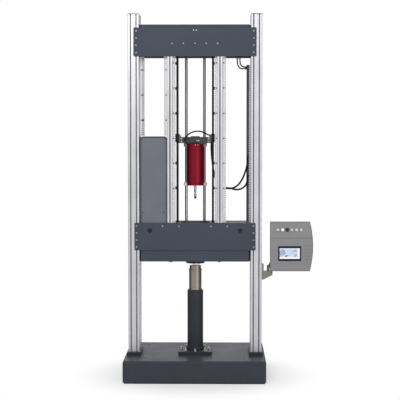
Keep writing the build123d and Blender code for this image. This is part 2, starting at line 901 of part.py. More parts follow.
with BuildPart() as weight_armature:
    with BuildSketch(Plane.XY.offset(weight_top)):
        Circle(armature_radius)
    extrude(amount=armature_height)
    chamfer(weight_armature.edges().filter_by(GeomType.CIRCLE).group_by(Axis.Z)[-1], armature_height / 8)
write(weight_armature, "weight_armature")

# Striker with its dark hemispherical tip
with BuildPart() as striker:
    with BuildSketch(Plane.XY.offset(tip_top)):
        Circle(striker_radius)
    extrude(amount=striker_length)
write(striker, "striker")

with BuildPart() as striker_tip:
    with BuildSketch(Plane.XZ):
        with BuildLine():
            top_edge = Line((0, tip_top), (striker_radius, tip_top))
            flank = Line(top_edge @ 1, (striker_radius, tip_top - tip_length + striker_radius))
            nose = TangentArc(flank @ 1, (0, tip_top - tip_length), tangent=(0, -1))
            Line(nose @ 1, top_edge @ 0)
        make_face()
    revolve(axis=Axis.Z)
write(striker_tip, "striker_tip")

# Stop buffers on the beam floor, under the guide plate at the end of its fall
with BuildPart() as stop_buffers:
    with BuildSketch(Plane.XY.offset(lower_bottom + beam_floor)):
        with Locations((0, buffer_y)):
            with GridLocations(2 * buffer_x, 1, 2, 1):
                Circle(buffer_radius)
    extrude(amount=buffer_top - lower_bottom - beam_floor)
    chamfer(stop_buffers.edges().group_by(Axis.Z)[-1], buffer_radius / 6)
write(stop_buffers, "stop_buffers")

# Clamp ring under the lower beam
with BuildPart() as clamp_ring:
    with BuildSketch(Plane.XY.offset(ring_bottom)):
        Circle(ring_radius)
        Circle(ring_bore_radius, mode=Mode.SUBTRACT)
    extrude(amount=ring_height)
    chamfer(clamp_ring.edges().group_by(Axis.Z)[0].sort_by(SortBy.LENGTH)[-1], ring_edge)
write(clamp_ring, "clamp_ring")

# Anvil: flange, dark post and the bright bored tube that takes the specimen
with BuildPart() as post_flange:
    with BuildSketch(Plane.XY.offset(base_height)):
        RectangleRounded(flange_width, flange_width, flange_corner)
    extrude(amount=flange_thickness)
    chamfer(post_flange.faces().sort_by(Axis.Z)[-1].edges(), foot_chamfer)
write(post_flange, "post_flange")

with BuildPart() as anvil_post:
    with BuildSketch(Plane.XY.offset(post_bottom)):
        Circle(post_radius)
    extrude(amount=post_top - post_bottom)
    with BuildSketch(Plane.XY.offset(post_bottom)):
        Circle(post_collar_radius)
    extrude(amount=post_collar_height)
    chamfer(anvil_post.edges().group_by(Axis.Z)[-1], foot_chamfer)
    chamfer(
        anvil_post.edges().filter_by(GeomType.CIRCLE).filter_by(
            lambda edge: edge.radius > post_radius and edge.center().Z > post_bottom
        ),
        foot_chamfer,
    )
write(anvil_post, "anvil_post")

with BuildPart() as flange_bolts:
    with BuildSketch(Plane.XY.offset(post_bottom)):
        with PolarLocations(flange_bolt_circle_radius, flange_bolt_count):
            RegularPolygon(flange_bolt_radius, 6)
    extrude(amount=flange_bolt_head)
write(flange_bolts, "flange_bolts")

with BuildPart() as anvil_tube:
    with BuildSketch(Plane.XZ):
        seat_bottom = anvil_top - anvil_seat_height
        shoulder_bottom = seat_bottom - anvil_shoulder_height
        with BuildLine():
            Polyline(
                (0, post_top),
                (anvil_shoulder_radius, post_top),
                (anvil_shoulder_radius, post_top + anvil_foot_ring),
                (anvil_radius, post_top + anvil_foot_ring),
                (anvil_radius, shoulder_bottom),
                (anvil_shoulder_radius, shoulder_bottom),
                (anvil_shoulder_radius, seat_bottom),
                (anvil_seat_radius, seat_bottom),
                (anvil_seat_radius, anvil_top),
                (anvil_bore_radius, anvil_top),
                (anvil_bore_radius, anvil_top - anvil_bore_depth),
                (0, anvil_top - anvil_bore_depth),
                close=True,
            )
        make_face()
    revolve(axis=Axis.Z)
write(anvil_tube, "anvil_tube")


def panel_outline(plane, inset):
    """Front outline of the control panel: three straight sides, a bowed right side and round corners."""
    left = panel_left_x + inset
    right = panel_left_x + panel_width - inset
    bottom = panel_bottom + inset
    top = panel_bottom + panel_height - inset
    with BuildSketch(plane) as outline:
        with BuildLine():
            Polyline((right, top), (left, top), (left, bottom), (right, bottom))
            ThreePointArc((right, bottom), (right + panel_bulge, (bottom + top) / 2), (right, top))
        make_face()
        fillet(outline.vertices(), panel_corner)
    return outline.sketch


# Control panel: rear shell with its hinge knuckle, front plate, display and push buttons
panel_rear_y = panel_front_y + panel_depth
with BuildPart() as panel_housing:
    for wall, mode in ((0, Mode.ADD), (shell_wall, Mode.SUBTRACT)):
        rim = panel_outline(Plane.XZ.offset(-panel_back_y), shell_inset + wall)
        back = panel_outline(Plane.XZ.offset(wall - panel_rear_y), shell_inset + shell_taper_inset + wall)
        loft([rim, back], mode=mode)
    lug_reach = panel_left_x + shell_inset + shell_taper_inset + shell_wall - pivot_x
    knuckle_bottom = arm_top + pivot_gap
    with Locations((pivot_x, pivot_y, knuckle_bottom)):
        Cylinder(knuckle_radius, knuckle_length, align=(Align.CENTER, Align.CENTER, Align.MIN))
    lug_bottom = panel_bottom + shell_inset + shell_taper_inset
    lug_outline = [
        (pivot_x, lug_bottom),
        (pivot_x + lug_reach, lug_bottom),
        (pivot_x + lug_reach, knuckle_bottom + knuckle_length + lug_rise),
        (pivot_x + lug_slope, knuckle_bottom + knuckle_length + lug_rise),
        (pivot_x, knuckle_bottom + knuckle_length),
    ]
    with BuildSketch(Plane.XZ.offset(-pivot_y - lug_thickness / 2)):
        Polygon(*lug_outline, align=None)
    extrude(amount=lug_thickness)
    with Locations((pivot_x, pivot_y, knuckle_bottom)):
        Cylinder(
            pivot_pin_radius + pivot_clearance,
            2 * knuckle_length,
            mode=Mode.SUBTRACT,
        )
write(panel_housing, "panel_housing")

first_button_x = panel_left_x + button_first
button_z = panel_bottom + button_rise
display_centre_x = panel_left_x + display_x + display_width / 2
display_centre_z = panel_bottom + display_rise + display_height / 2
display_front_y = panel_front_y - display_stand
with BuildPart() as panel_front:
    extrude(panel_outline(Plane.XZ.offset(-panel_back_y), 0), amount=panel_front_thickness)
    chamfer(panel_front.faces().sort_by(Axis.Y)[0].edges(), panel_edge)
    with Locations((panel_left_x, panel_front_y, panel_bottom + panel_groove_rise)):
        Box(3 * panel_width, 2 * panel_groove, panel_groove, mode=Mode.SUBTRACT)
    with BuildSketch(Plane.XZ.offset(-panel_front_y)):
        for step in range(button_count):
            with Locations((first_button_x + step * button_pitch, button_z)):
                Circle(button_radius + button_clearance)
    extrude(amount=-panel_front_thickness, mode=Mode.SUBTRACT)
    with BuildSketch(Plane.XZ.offset(-panel_front_y)):
        with Locations((display_centre_x, display_centre_z)):
            Rectangle(display_width + 2 * display_clearance, display_height + 2 * display_clearance)
    extrude(amount=display_stand - display_thickness, mode=Mode.SUBTRACT)
write(panel_front, "panel_front")

with BuildPart() as display:
    with BuildSketch(Plane.XZ.offset(-display_front_y - display_thickness)):
        with Locations((display_centre_x, display_centre_z)):
            Rectangle(display_width, display_height)
    extrude(amount=display_thickness)
    chamfer(display.faces().sort_by(Axis.Y)[0].edges(), display_stand / 2)
write(display, "display")

for step in range(button_count):
    button_x = first_button_x + step * button_pitch
    with BuildPart() as button:
        with BuildSketch(Plane.XZ.offset(-panel_back_y)):
            with Locations((button_x, button_z)):
                Circle(button_radius)
        extrude(amount=panel_front_thickness + button_stand)
        chamfer(button.faces().sort_by(Axis.Y)[0].edges(), button_stand / 4)
        with BuildSketch(Plane.XZ.offset(-panel_back_y - button_collar)):
            with Locations((button_x, button_z)):
                Circle(button_collar_radius)
        extrude(amount=button_collar)
    write(button, f"button_{step + 1}")

# Swivel bracket on the flank of the right column, with the pivot pin standing on its arm
with BuildPart() as panel_bracket:
    arm_bottom = arm_top - bracket_arm_height
    bracket_outline = [
        (column_side_x, arm_top - bracket_strip_bottom),
        (column_side_x + bracket_strip_width, arm_top - bracket_strip_bottom),
        (column_side_x + bracket_arm_reach, arm_bottom),
        (column_side_x + bracket_arm_reach, arm_top),
        (column_side_x + bracket_strip_width, arm_top),
        (column_side_x + bracket_strip_width, arm_top + bracket_strip_top),
        (column_side_x, arm_top + bracket_strip_top),
    ]
    with BuildSketch(Plane.XZ.offset(-pivot_y - bracket_depth / 2)):
        Polygon(*bracket_outline, align=None)
    extrude(amount=bracket_depth)
    with Locations((pivot_x, pivot_y, arm_top)):
        Cylinder(
            pivot_pin_radius,
            knuckle_length,
            align=(Align.CENTER, Align.CENTER, Align.MIN),
        )
write(panel_bracket, "panel_bracket")

# Cord routes, point by point, from gland to gland
conduit_x = (conduit_left_x + conduit_right_x) / 2
clip_y = conduit_y - conduit_depth / 2 - clip_depth / 2
duct_gland_x = outer_flank + outer_duct_width + gland_length
conduit_gland_x = conduit_left_x - conduit_gland_length
ceiling_gland_z = upper_bottom - gland_length
hose_start_y = carriage_front_y - hose_boss_length
hose_start_z = carriage_bottom + hose_start_rise
hose_end_z = carriage_top + hose_end_rise
hose_end_x = carriage_x + end_plate_step - hose_end_boss
cable_start_z = carriage_bottom - cable_boss_height
carriage_hose_route = [
    (hose_start_x, hose_start_y, hose_start_z),
    (hose_start_x, hose_start_y - 16, hose_start_z),
    (hose_start_x + 3, hose_start_y - 28, hose_start_z + 9),
    (hose_start_x + 10, hose_start_y - 33, hose_start_z + 24),
    (hose_start_x + 23, hose_start_y - 32, hose_start_z + 40),
    (hose_start_x + 42, hose_start_y - 26, hose_start_z + 54),
    (hose_start_x + 67, hose_start_y - 15, hose_start_z + 63),
    (hose_end_x - 87, hose_end_y - 48, hose_end_z + 29),
    (hose_end_x - 60, hose_end_y - 32, hose_end_z + 25),
    (hose_end_x - 37, hose_end_y - 16, hose_end_z + 15),
    (hose_end_x - 20, hose_end_y - 4, hose_end_z + 4),
    (hose_end_x - 9, hose_end_y, hose_end_z),
    (hose_end_x, hose_end_y, hose_end_z),
]
trailing_cable_route = [
    (cable_start_x, cable_start_y, cable_start_z),
    (cable_start_x, cable_start_y, cable_start_z - 30),
    (cable_start_x + 3, 8, cable_start_z - 82),
    (cable_start_x + 9, 12, cable_start_z - 138),
    (cable_start_x + 17, 16, cable_start_z - 193),
    (cable_start_x + 28, 19, cable_start_z - 240),
    (cable_start_x + 45, 22, cable_start_z - 276),
    (cable_start_x + 71, 23, cable_start_z - 300),
    (cable_start_x + 99, 22, cable_start_z - 311),
    (conduit_x - 133, 16, lower_top + 240),
    (conduit_x - 105, 6, lower_top + 244),
    (conduit_x - 79, -6, lower_top + 257),
    (conduit_x - 55, -18, lower_top + 281),
    (conduit_x - 35, -29, lower_top + 315),
    (conduit_x - 19, -38, lower_top + 357),
    (conduit_x - 6, clip_y + 1, lower_top + 397),
    (conduit_x, clip_y, lower_top + 435),
    (conduit_x, clip_y, lower_top + 463),
]
bay_hose_route = [
    (duct_gland_x, -80, lower_top + 248),
    (duct_gland_x + 18, -80, lower_top + 248),
    (duct_gland_x + 41, -80, lower_top + 240),
    (duct_gland_x + 68, -77, lower_top + 236),
    (conduit_x - 52, -71, lower_top + 240),
    (conduit_x - 30, -63, lower_top + 251),
    (conduit_x - 13, -54, lower_top + 269),
    (conduit_x - 2, clip_y - 2, lower_top + 291),
    (conduit_x, clip_y, lower_top + 315),
    (conduit_x, clip_y, lower_top + 333),
]
front_cable_x = conduit_gland_x - front_cable_reach
front_cable_z = ceiling_gland_z - front_cable_drop
top_cable_front_route = [
    (front_cable_x, front_cable_y, ceiling_gland_z),
    (front_cable_x, front_cable_y, ceiling_gland_z - 22),
    (front_cable_x + 4, front_cable_y, front_cable_z + 24),
    (front_cable_x + 15, front_cable_y, front_cable_z + 7),
    (front_cable_x + 32, front_cable_y, front_cable_z - 1),
    (conduit_gland_x - 11, front_cable_y, front_cable_z),
    (conduit_gland_x, front_cable_y, front_cable_z),
]
rear_cable_x = conduit_gland_x - rear_cable_reach
rear_cable_z = ceiling_gland_z - rear_cable_drop
top_cable_rear_route = [
    (rear_cable_x, rear_cable_y, ceiling_gland_z),
    (rear_cable_x, rear_cable_y, ceiling_gland_z - 14),
    (rear_cable_x + 2, rear_cable_y, rear_cable_z + 26),
    (rear_cable_x + 8, rear_cable_y, rear_cable_z + 13),
    (rear_cable_x + 17, rear_cable_y, rear_cable_z + 4),
    (conduit_gland_x - 10, rear_cable_y, rear_cable_z),
    (conduit_gland_x, rear_cable_y, rear_cable_z),
]

# Glands and clips of the fixed cords
with BuildPart() as hose_glands:
    for route in (top_cable_front_route, top_cable_rear_route):
        with Locations((route[0][0], route[0][1], upper_bottom)):
            Cylinder(gland_radius, gland_length, align=(Align.CENTER, Align.CENTER, Align.MAX))
        with Locations((conduit_left_x, route[-1][1], route[-1][2])):
            Cylinder(
                conduit_gland_radius,
                conduit_gland_length,
                rotation=(0, 90, 0),
                align=(Align.CENTER, Align.CENTER, Align.MAX),
            )
    for route in (trailing_cable_route, bay_hose_route):
        with Locations(route[-1]):
            Box(conduit_width, clip_depth, clip_height, align=(Align.CENTER, Align.CENTER, Align.MIN))
    with Locations(bay_hose_route[0]):
        Cylinder(
            gland_radius,
            gland_length,
            rotation=(0, 90, 0),
            align=(Align.CENTER, Align.CENTER, Align.MAX),
        )
write(hose_glands, "hose_glands")

make_cord("carriage_hose", carriage_hose_route, carriage_hose_radius)
make_cord("trailing_cable", trailing_cable_route, trailing_cable_radius)
make_cord("bay_hose", bay_hose_route, bay_hose_radius)
make_cord("top_cable_front", top_cable_front_route, top_cable_radius)
make_cord("top_cable_rear", top_cable_rear_route, top_cable_radius)
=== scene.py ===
import math

import bmesh
import bpy
from mathutils import Matrix, Vector


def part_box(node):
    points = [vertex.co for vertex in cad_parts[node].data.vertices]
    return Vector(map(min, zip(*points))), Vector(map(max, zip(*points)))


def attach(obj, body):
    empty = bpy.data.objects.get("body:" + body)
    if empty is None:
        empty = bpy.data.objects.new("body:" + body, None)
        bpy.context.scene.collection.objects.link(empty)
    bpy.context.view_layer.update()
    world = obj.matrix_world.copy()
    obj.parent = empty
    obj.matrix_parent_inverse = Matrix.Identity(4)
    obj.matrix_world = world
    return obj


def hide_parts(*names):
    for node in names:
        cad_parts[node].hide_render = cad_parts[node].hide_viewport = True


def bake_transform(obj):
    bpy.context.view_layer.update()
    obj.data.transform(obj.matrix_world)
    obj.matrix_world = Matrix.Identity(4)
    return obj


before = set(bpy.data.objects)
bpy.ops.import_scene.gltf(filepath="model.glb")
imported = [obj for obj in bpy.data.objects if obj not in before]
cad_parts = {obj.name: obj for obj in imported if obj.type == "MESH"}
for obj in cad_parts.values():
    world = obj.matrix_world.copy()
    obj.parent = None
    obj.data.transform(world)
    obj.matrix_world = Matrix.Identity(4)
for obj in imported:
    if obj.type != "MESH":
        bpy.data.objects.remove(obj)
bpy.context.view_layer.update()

mm = 0.001


# Base slab: one machined steel block with broken edges, bored for four floor anchors.
# It is sprayed in dark grey two-pack paint, smooth enough to mirror the feet a little.
def solid_of(node):
    """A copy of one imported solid, its loose triangles merged into clean flat faces."""
    bm = bmesh.new()
    bm.from_mesh(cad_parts[node].data)
    bmesh.ops.remove_doubles(bm, verts=bm.verts, dist=0.005 * mm)
    bmesh.ops.dissolve_limit(bm, angle_limit=math.radians(0.2), verts=bm.verts, edges=bm.edges)
    return bm


def break_edges(bm, width, angle=40, segments=2):
    """Round every edge that is sharper than the angle by a small width."""
    sharp = [e for e in bm.edges if e.is_manifold and e.calc_face_angle() > math.radians(angle)]
    bmesh.ops.bevel(
        bm,
        geom=sharp,
        offset=width,
        offset_type="OFFSET",
        affect="EDGES",
        segments=segments,
        profile=0.5,
        material=-1,
        clamp_overlap=True,
    )


def keep_piece(name, bm, materials, body, slot, *nodes):
    """Finish a shape as a named piece that rides on a body and stands for the nodes given."""
    for face in bm.faces:
        face.smooth = True
    for edge in bm.edges:
        edge.smooth = edge.is_manifold and edge.calc_face_angle() < math.radians(50)
    mesh = bpy.data.meshes.new(name)
    bm.to_mesh(mesh)
    bm.free()
    for material in materials:
        mesh.materials.append(material)
    piece = bpy.data.objects.new(name, mesh)
    bpy.context.scene.collection.objects.link(piece)
    piece.modifiers.new("even_shading", "WEIGHTED_NORMAL").keep_sharp = True
    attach(piece, body)
    if nodes:
        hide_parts(*nodes)


def dress(name, node, finish, body, slot, edge, angle=40, segments=2):
    """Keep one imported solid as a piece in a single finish, its edges broken by a width in millimetres."""
    bm = solid_of(node)
    break_edges(bm, edge * mm, angle, segments)
    keep_piece(name, bm, [finish], body, slot, node)


def linear(code):
    """Linear colour of an sRGB hex code."""
    parts = [int(code[i:i + 2], 16) / 255 for i in (1, 3, 5)]
    return tuple(c / 12.92 if c <= 0.04045 else ((c + 0.055) / 1.055) ** 2.4 for c in parts) + (1.0,)


def add_node(material, kind, settings, links):
    """Add one shader node, with values for its properties or sockets and links into its sockets."""
    node = material.node_tree.nodes.new("ShaderNode" + kind)
    for key, value in settings.items():
        if isinstance(key, int) or key in node.inputs:
            node.inputs[key].default_value = value
        else:
            setattr(node, key, value)
    for key, source in links.items():
        material.node_tree.links.new(source, node.inputs[key])
    return node


def new_finish(name, settings):
    """A material and its shader, with the shader's constant values set."""
    material = bpy.data.materials.new(name)
    material.use_nodes = True
    shader = material.node_tree.nodes["Principled BSDF"]
    for key, value in settings.items():
        shader.inputs[key].default_value = value
    return material, shader


def worked_finish(name, colour, dark, rough, grain, lift, **settings):
    """A finish with fine marks of its making, drawn out by a grain of three sizes in millimetres,
    that vary tone, gloss and height, over slow clouds of tone."""
    material, shader = new_finish(name, settings)
    wire = material.node_tree.links.new
    place = add_node(material, "TexCoord", {}, {}).outputs["Object"]
    drawn = add_node(
        material, "Mapping", {"Scale": tuple(1 / (size * mm) for size in grain)}, {"Vector": place}
    )
    marks = add_node(
        material, "TexNoise", {"Scale": 1.0, "Detail": 4.0}, {"Vector": drawn.outputs["Vector"]}
    )
    cloud = add_node(material, "TexNoise", {"Scale": 1 / (180 * mm), "Detail": 3.0}, {"Vector": place})
    both = add_node(
        material, "Math", {"operation": "ADD"}, {0: marks.outputs["Fac"], 1: cloud.outputs["Fac"]}
    )
    spread = add_node(
        material, "MapRange", {"From Min": 0.7, "From Max": 1.3}, {"Value": both.outputs[0]}
    )
    tone = add_node(
        material,
        "Mix",
        {"data_type": "RGBA", 6: linear(dark), 7: linear(colour)},
        {0: spread.outputs["Result"]},
    )
    gloss = add_node(
        material,
        "MapRange",
        {"To Min": rough - 0.06, "To Max": rough + 0.06},
        {"Value": spread.outputs["Result"]},
    )
    bump = add_node(
        material, "Bump", {"Strength": lift, "Distance": 0.15 * mm}, {"Height": marks.outputs["Fac"]}
    )
    wire(tone.outputs[2], shader.inputs["Base Color"])
    wire(gloss.outputs["Result"], shader.inputs["Roughness"])
    wire(bump.outputs["Normal"], shader.inputs["Normal"])
    return material


low_sheen = {"Specular IOR Level": 0.05}
base_paint = worked_finish("base_two_pack_paint", "#44474f", "#3f424a", 0.36, (3, 3, 3), 0.02, **low_sheen)
dress("base_slab", "base_block", base_paint, "frame", "base_paint", 1.5, angle=30)

# Foot plates: steel pads between slab and columns, painted dark grey and bolted from below.
satin = {"Specular IOR Level": 0.14}
foot_paint = worked_finish("foot_dark_paint", "#3a3d44", "#34373e", 0.42, (2, 2, 2), 0.12, **satin)
dress("column_feet", "foot_plates", foot_paint, "frame", "foot_paint", 0.8, angle=30)

# Outer columns: slotted aluminium extrusions, natural anodised, so they are pale, satin and streaked
# along their length by the die. Thin black moulded caps close their tops.
bare_metal = {"Metallic": 1.0}
anodised = worked_finish(
    "anodised_extrusion", "#c9c9cd", "#bdbdc1", 0.38, (5, 5, 900), 0.01, **bare_metal
)
# The slot walls get a darker, duller, non-metal finish: painted shade inside the slots.
slot_shade = worked_finish("slot_wall_painted_shade", "#9c9da0", "#909194", 0.6, (5, 5, 900), 0.02, **low_sheen)


def extrusion(node):
    """A slotted profile whose slot walls take the darker, duller finish: painted shade for the depth of the
    slots.
    """
    bm = solid_of(node)
    low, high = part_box(node)
    for face in bm.faces:
        spot = face.calc_center_median()
        depth = min(spot.x - low.x, high.x - spot.x, spot.y - low.y, high.y - spot.y)
        if depth > 0.6 * mm and abs(face.normal.z) < 0.5:
            face.material_index = 1
    break_edges(bm, 0.4 * mm, segments=1)
    return bm


for side in ("left", "right"):
    node = f"column_{side}"
    keep_piece(
        f"outer_{node}", extrusion(node), [anodised, slot_shade], "frame", "anodised_profile", node
    )
plastic = {"Specular IOR Level": 0.25}
black_nylon = worked_finish(
    "moulded_black_nylon", "#17181b", "#101113", 0.45, (1.5, 1.5, 1.5), 0.12, **plastic
)
dress("column_end_caps", "column_caps", black_nylon, "frame", "black_plastic", 0.6, angle=30)

# Cross beams: boxes welded from steel plate between the columns, with bolted front and rear plates.
# All of it is powder coated in blue grey with a fine grain,
# but the upper beam's underside is painted dull black as painted shade.
beam_paint = worked_finish("beam_powder_coat", "#484d59", "#434853", 0.5, (2, 2, 2), 0.2, **satin)
underside_painted_shade = worked_finish("beam_underside_painted_shade", "#2a2b2f", "#232428", 0.8, (2, 2, 2), 0.2, **low_sheen)
for node, name, edge in (
    ("upper_beam", "upper_cross_beam", 1.5),
    ("lower_beam", "lower_cross_beam", 0.5),
    ("upper_front_plate", "upper_face_plate", 0.8),
    ("lower_front_plate", "lower_face_plate", 0.8),
    ("rear_plates", "back_plates", 0.8),
):
    sheet = solid_of(node)
    # The faces that look down on the upper beam take the dull black painted shade.
    for face in sheet.faces:
        if face.normal.z < -0.9 and node == "upper_beam":
            face.material_index = 1
    break_edges(sheet, edge * mm)
    keep_piece(name, sheet, [beam_paint, underside_painted_shade], "frame", "beam_paint", node)

# Plate screws: zinc-plated button heads with hexagon sockets, in rows along the ends of both plates.
# The back plates carry the same end rows.
zinc = worked_finish("bright_zinc_plate", "#a5a6a9", "#8b8c90", 0.34, (5, 5, 5), 0.05, **bare_metal)


def turned(profile, steps=48):
    """A round body spun about the upright axis from pairs of radius and height, in millimetres."""
    bm = bmesh.new()
    section = [bm.verts.new((radius * mm, 0, height * mm)) for radius, height in profile]
    lines = [bm.edges.new(pair) for pair in zip(section, section[1:])]
    bmesh.ops.spin(
        bm,
        geom=section + lines,
        cent=(0, 0, 0),
        axis=(0, 0, 1),
        angle=math.tau,
        steps=steps,
        use_merge=True,
    )
    bmesh.ops.remove_doubles(bm, verts=bm.verts, dist=0.001 * mm)
    bmesh.ops.dissolve_degenerate(bm, edges=bm.edges, dist=0.001 * mm)
    bmesh.ops.recalc_face_normals(bm, faces=bm.faces)
    return bm


def repeated(source, places):
    """Copies of one shape set down by a list of matrices, in one mesh."""
    pattern = bpy.data.meshes.new("pattern")
    source.to_mesh(pattern)
    source.free()
    bm = bmesh.new()
    for place in places:
        before = len(bm.verts)
        bm.from_mesh(pattern)
        bm.verts.ensure_lookup_table()
        bmesh.ops.transform(bm, matrix=place, verts=bm.verts[before:])
    bpy.data.meshes.remove(pattern)
    return bm


def facing(turn, axis, spots):
    """Places in millimetres, each with the upright axis turned to point another way."""
    swing = Matrix.Rotation(math.radians(turn), 4, axis)
    return [Matrix.Translation(Vector(spot) * mm) @ swing for spot in spots]


def socket_screw(radius, head, socket):
    """A domed screw head with a hexagon socket sunk in its top."""
    dome = [(radius, 0), (radius, head * 0.45), (radius * 0.86, head * 0.8), (radius * 0.62, head)]
    bm = turned(dome, steps=18)
    rim = [e for e in bm.edges if e.is_boundary and e.verts[0].co.z > head * 0.9 * mm]
    hexagon = bmesh.ops.create_circle(
        bm, segments=6, radius=socket * mm, matrix=Matrix.Translation((0, 0, head * mm))
    )
    mouth = list({e for v in hexagon["verts"] for e in v.link_edges})
    bmesh.ops.bridge_loops(bm, edges=rim + mouth)
    walls = bmesh.ops.extrude_edge_only(bm, edges=mouth)
    low = [v for v in walls["geom"] if isinstance(v, bmesh.types.BMVert)]
    bmesh.ops.translate(bm, verts=low, vec=(0, 0, -head * 0.55 * mm))
    bmesh.ops.contextual_create(bm, geom=low)
    bmesh.ops.recalc_face_normals(bm, faces=bm.faces)
    return bm


def span(node, axis="z"):
    """The lowest and the highest place of a node along one axis, in millimetres."""
    return [getattr(corner, axis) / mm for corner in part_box(node)]


end_rows = []
for node in ("upper_front_plate", "lower_front_plate"):
    middle = sum(span(node)) / 2
    for x in (-415, 415):
        end_rows += [(x, middle + 50 * step) for step in (-1.5, -0.5, 0.5, 1.5)]
beam_rows = [(80 * step, 2374) for step in (-2, -1, 0, 1, 2)] + [(-10, 2466), (10, 2466)]
beam_rows += [(x, 1083) for x in (-230, -114, 114, 230)]
plate_front = span("lower_front_plate", "y")[0]
plate_rear = span("rear_plates", "y")[1]
front_spots = [(x, plate_front, z) for x, z in end_rows + beam_rows]
rear_spots = [(x, plate_rear, z) for x, z in end_rows]
front_screws = repeated(socket_screw(6.5, 5, 2.6), facing(90, "X", front_spots))
keep_piece("plate_button_screws", front_screws, [zinc], "frame", "zinc_steel", "plate_screws")
rear_screws = repeated(socket_screw(6.5, 4.5, 2.6), facing(-90, "X", rear_spots))
keep_piece("back_plate_screws", rear_screws, [zinc], "frame", "zinc_steel")

# Blanking plugs: moulded black domes pressed into two spare holes of the lower face plate.
dome = [(0, 2.6), (9, 2.5), (14.5, 1.8), (16.6, 0.7), (17, 0), (14.9, 0), (14.9, -8), (0, -8)]
plugs = repeated(turned(dome, 32), facing(90, "X", [(x, plate_front, 1054) for x in (-320, 320)]))
keep_piece("hole_plugs", plugs, [black_nylon], "frame", "black_plastic", "blanking_plugs")

# Inner columns: smaller extrusions of the same family, stood between the two beams.
for side in ("left", "right"):
    node = f"inner_column_{side}"
    profile = extrusion(node)
    keep_piece(
        f"inner_post_{side}", profile, [anodised, slot_shade], "frame", "anodised_profile", node
    )

# Guide rails: cold-drawn flat bars, blackened, on short arms screwed to the backs of the inner columns.
black_oxide = worked_finish("black_oxide_steel", "#2b2c2f", "#1e1f22", 0.42, (6, 6, 60), 0.08, **bare_metal)
dress("carriage_rails", "guide_rails", black_oxide, "frame", "black_steel", 1.0)
dress("rail_arms", "rail_brackets", black_oxide, "frame", "black_steel", 0.8)

# Wire ducts: extruded pale PVC with a row of punched wire slots along the front, screwed to the columns.
# Black clips hold the wires in the left column's duct.
pale_pvc = worked_finish("extruded_pale_pvc", "#f6f6f8", "#efeff2", 0.45, (2.5, 2.5, 2.5), 0.1, **plastic)
# The sunk slot floors are painted dark in the column ducts and mid grey in the rail ducts: painted shade
# inside the slots.
duct_shade = worked_finish("duct_inside_shade", "#242427", "#1c1c1f", 0.6, (2.5, 2.5, 2.5), 0.1, **plastic)
rail_duct_painted_shade = worked_finish("rail_duct_painted_shade", "#98989c", "#8c8c90", 0.6, (2.5, 2.5, 2.5), 0.1, **plastic)


def block(left, right, front, rear, bottom, top):
    """A plain box between six bounds in millimetres."""
    bm = bmesh.new()
    bmesh.ops.create_cube(bm, size=1.0)
    bmesh.ops.scale(bm, vec=Vector((right - left, rear - front, top - bottom)) * mm, verts=bm.verts)
    middle = Vector((left + right, front + rear, bottom + top)) / 2
    bmesh.ops.translate(bm, vec=middle * mm, verts=bm.verts)
    return bm


def slotted_duct(run, pitch, mouth_left, mouth_right, sink):
    """A duct with a row of punched slots between two upright lines of its front wall."""
    bm = block(*run)
    bottom, top = run[4], run[5]
    for x in (mouth_left, mouth_right):
        whole = list(bm.verts) + list(bm.edges) + list(bm.faces)
        bmesh.ops.bisect_plane(bm, geom=whole, plane_co=(x * mm, 0, 0), plane_no=(1, 0, 0))
    upright = [e for e in bm.edges if abs(e.verts[0].co.z - e.verts[1].co.z) > mm]
    rows = 2 * round((top - bottom) / pitch)
    bmesh.ops.subdivide_edges(bm, edges=upright, cuts=rows, use_grid_fill=True)
    step = (top - bottom) / (rows + 1)
    mouths = []
    for face in bm.faces:
        spot = face.calc_center_median() / mm
        is_slot = int((spot.z - bottom) / step) % 2 == 1
        if is_slot and face.normal.y < -0.9 and mouth_left < spot.x < mouth_right:
            mouths.append(face)
    sunk = bmesh.ops.extrude_discrete_faces(bm, faces=mouths)
    # The slot floors take the second finish, the painted shade.
    for face in sunk["faces"]:
        face.material_index = 1
    low = list({v for face in sunk["faces"] for v in face.verts})
    bmesh.ops.translate(bm, vec=(0, sink * mm, 0), verts=low)
    return bm


bay_floor, hood_top, bay_roof = 1109, 1722, 2285
duct_runs = (
    ("duct_left_outer", "rail_wire_ducts", (-219, -197, -100, -60, hood_top, bay_roof), 14, -217, -209, 3),
    ("duct_left_inner", "rail_wire_ducts", (-157, -140, -100, -60, bay_floor, bay_roof), 14, -146, -141, 3),
    ("duct_right_inner", "rail_wire_ducts", (140, 157, -100, -60, bay_floor, bay_roof), 14, 141, 146, 3),
    ("duct_right_outer", "rail_wire_ducts", (197, 219, -100, -60, bay_floor, bay_roof), 14, 209, 217, 3),
    ("duct_left_column", "column_ducts", (-395, -362, -60, 0, hood_top, bay_roof), 14, -377, -365, 12),
    ("duct_right_column", "column_ducts", (384, 395, -60, 0, bay_floor, 2229), 12.5, 385, 394, 12),
)
for name, node, run, pitch, mouth_left, mouth_right, sink in duct_runs:
    duct = slotted_duct(run, pitch, mouth_left, mouth_right, sink)
    inside = duct_shade if node == "column_ducts" else rail_duct_painted_shade
    keep_piece(name, duct, [pale_pvc, inside], "frame", "pale_plastic", node)
arm_heights = [1352 + 177.5 * step for step in range(6)]
clip_heights = [1835 + 178 * step for step in range(3)]
screw_spots = [(x, -100, z) for x in (-151, 151, 204) for z in arm_heights]
screw_spots += [(-204, -100, z) for z in clip_heights]
duct_screw = turned([(0, 2.4), (2.6, 2.2), (4.4, 1.0), (4.8, 0)], steps=14)
screws = repeated(duct_screw, facing(90, "X", screw_spots))
keep_piece("duct_fixing_screws", screws, [black_oxide], "frame", "black_steel")
clip = block(-10, 10, -2, 2, -4.5, 4.5)
break_edges(clip, 1.2 * mm)
clips = repeated(clip, facing(0, "X", [(-373, -61.5, z) for z in clip_heights]))
keep_piece("duct_wire_clips", clips, [black_nylon], "frame", "black_plastic")

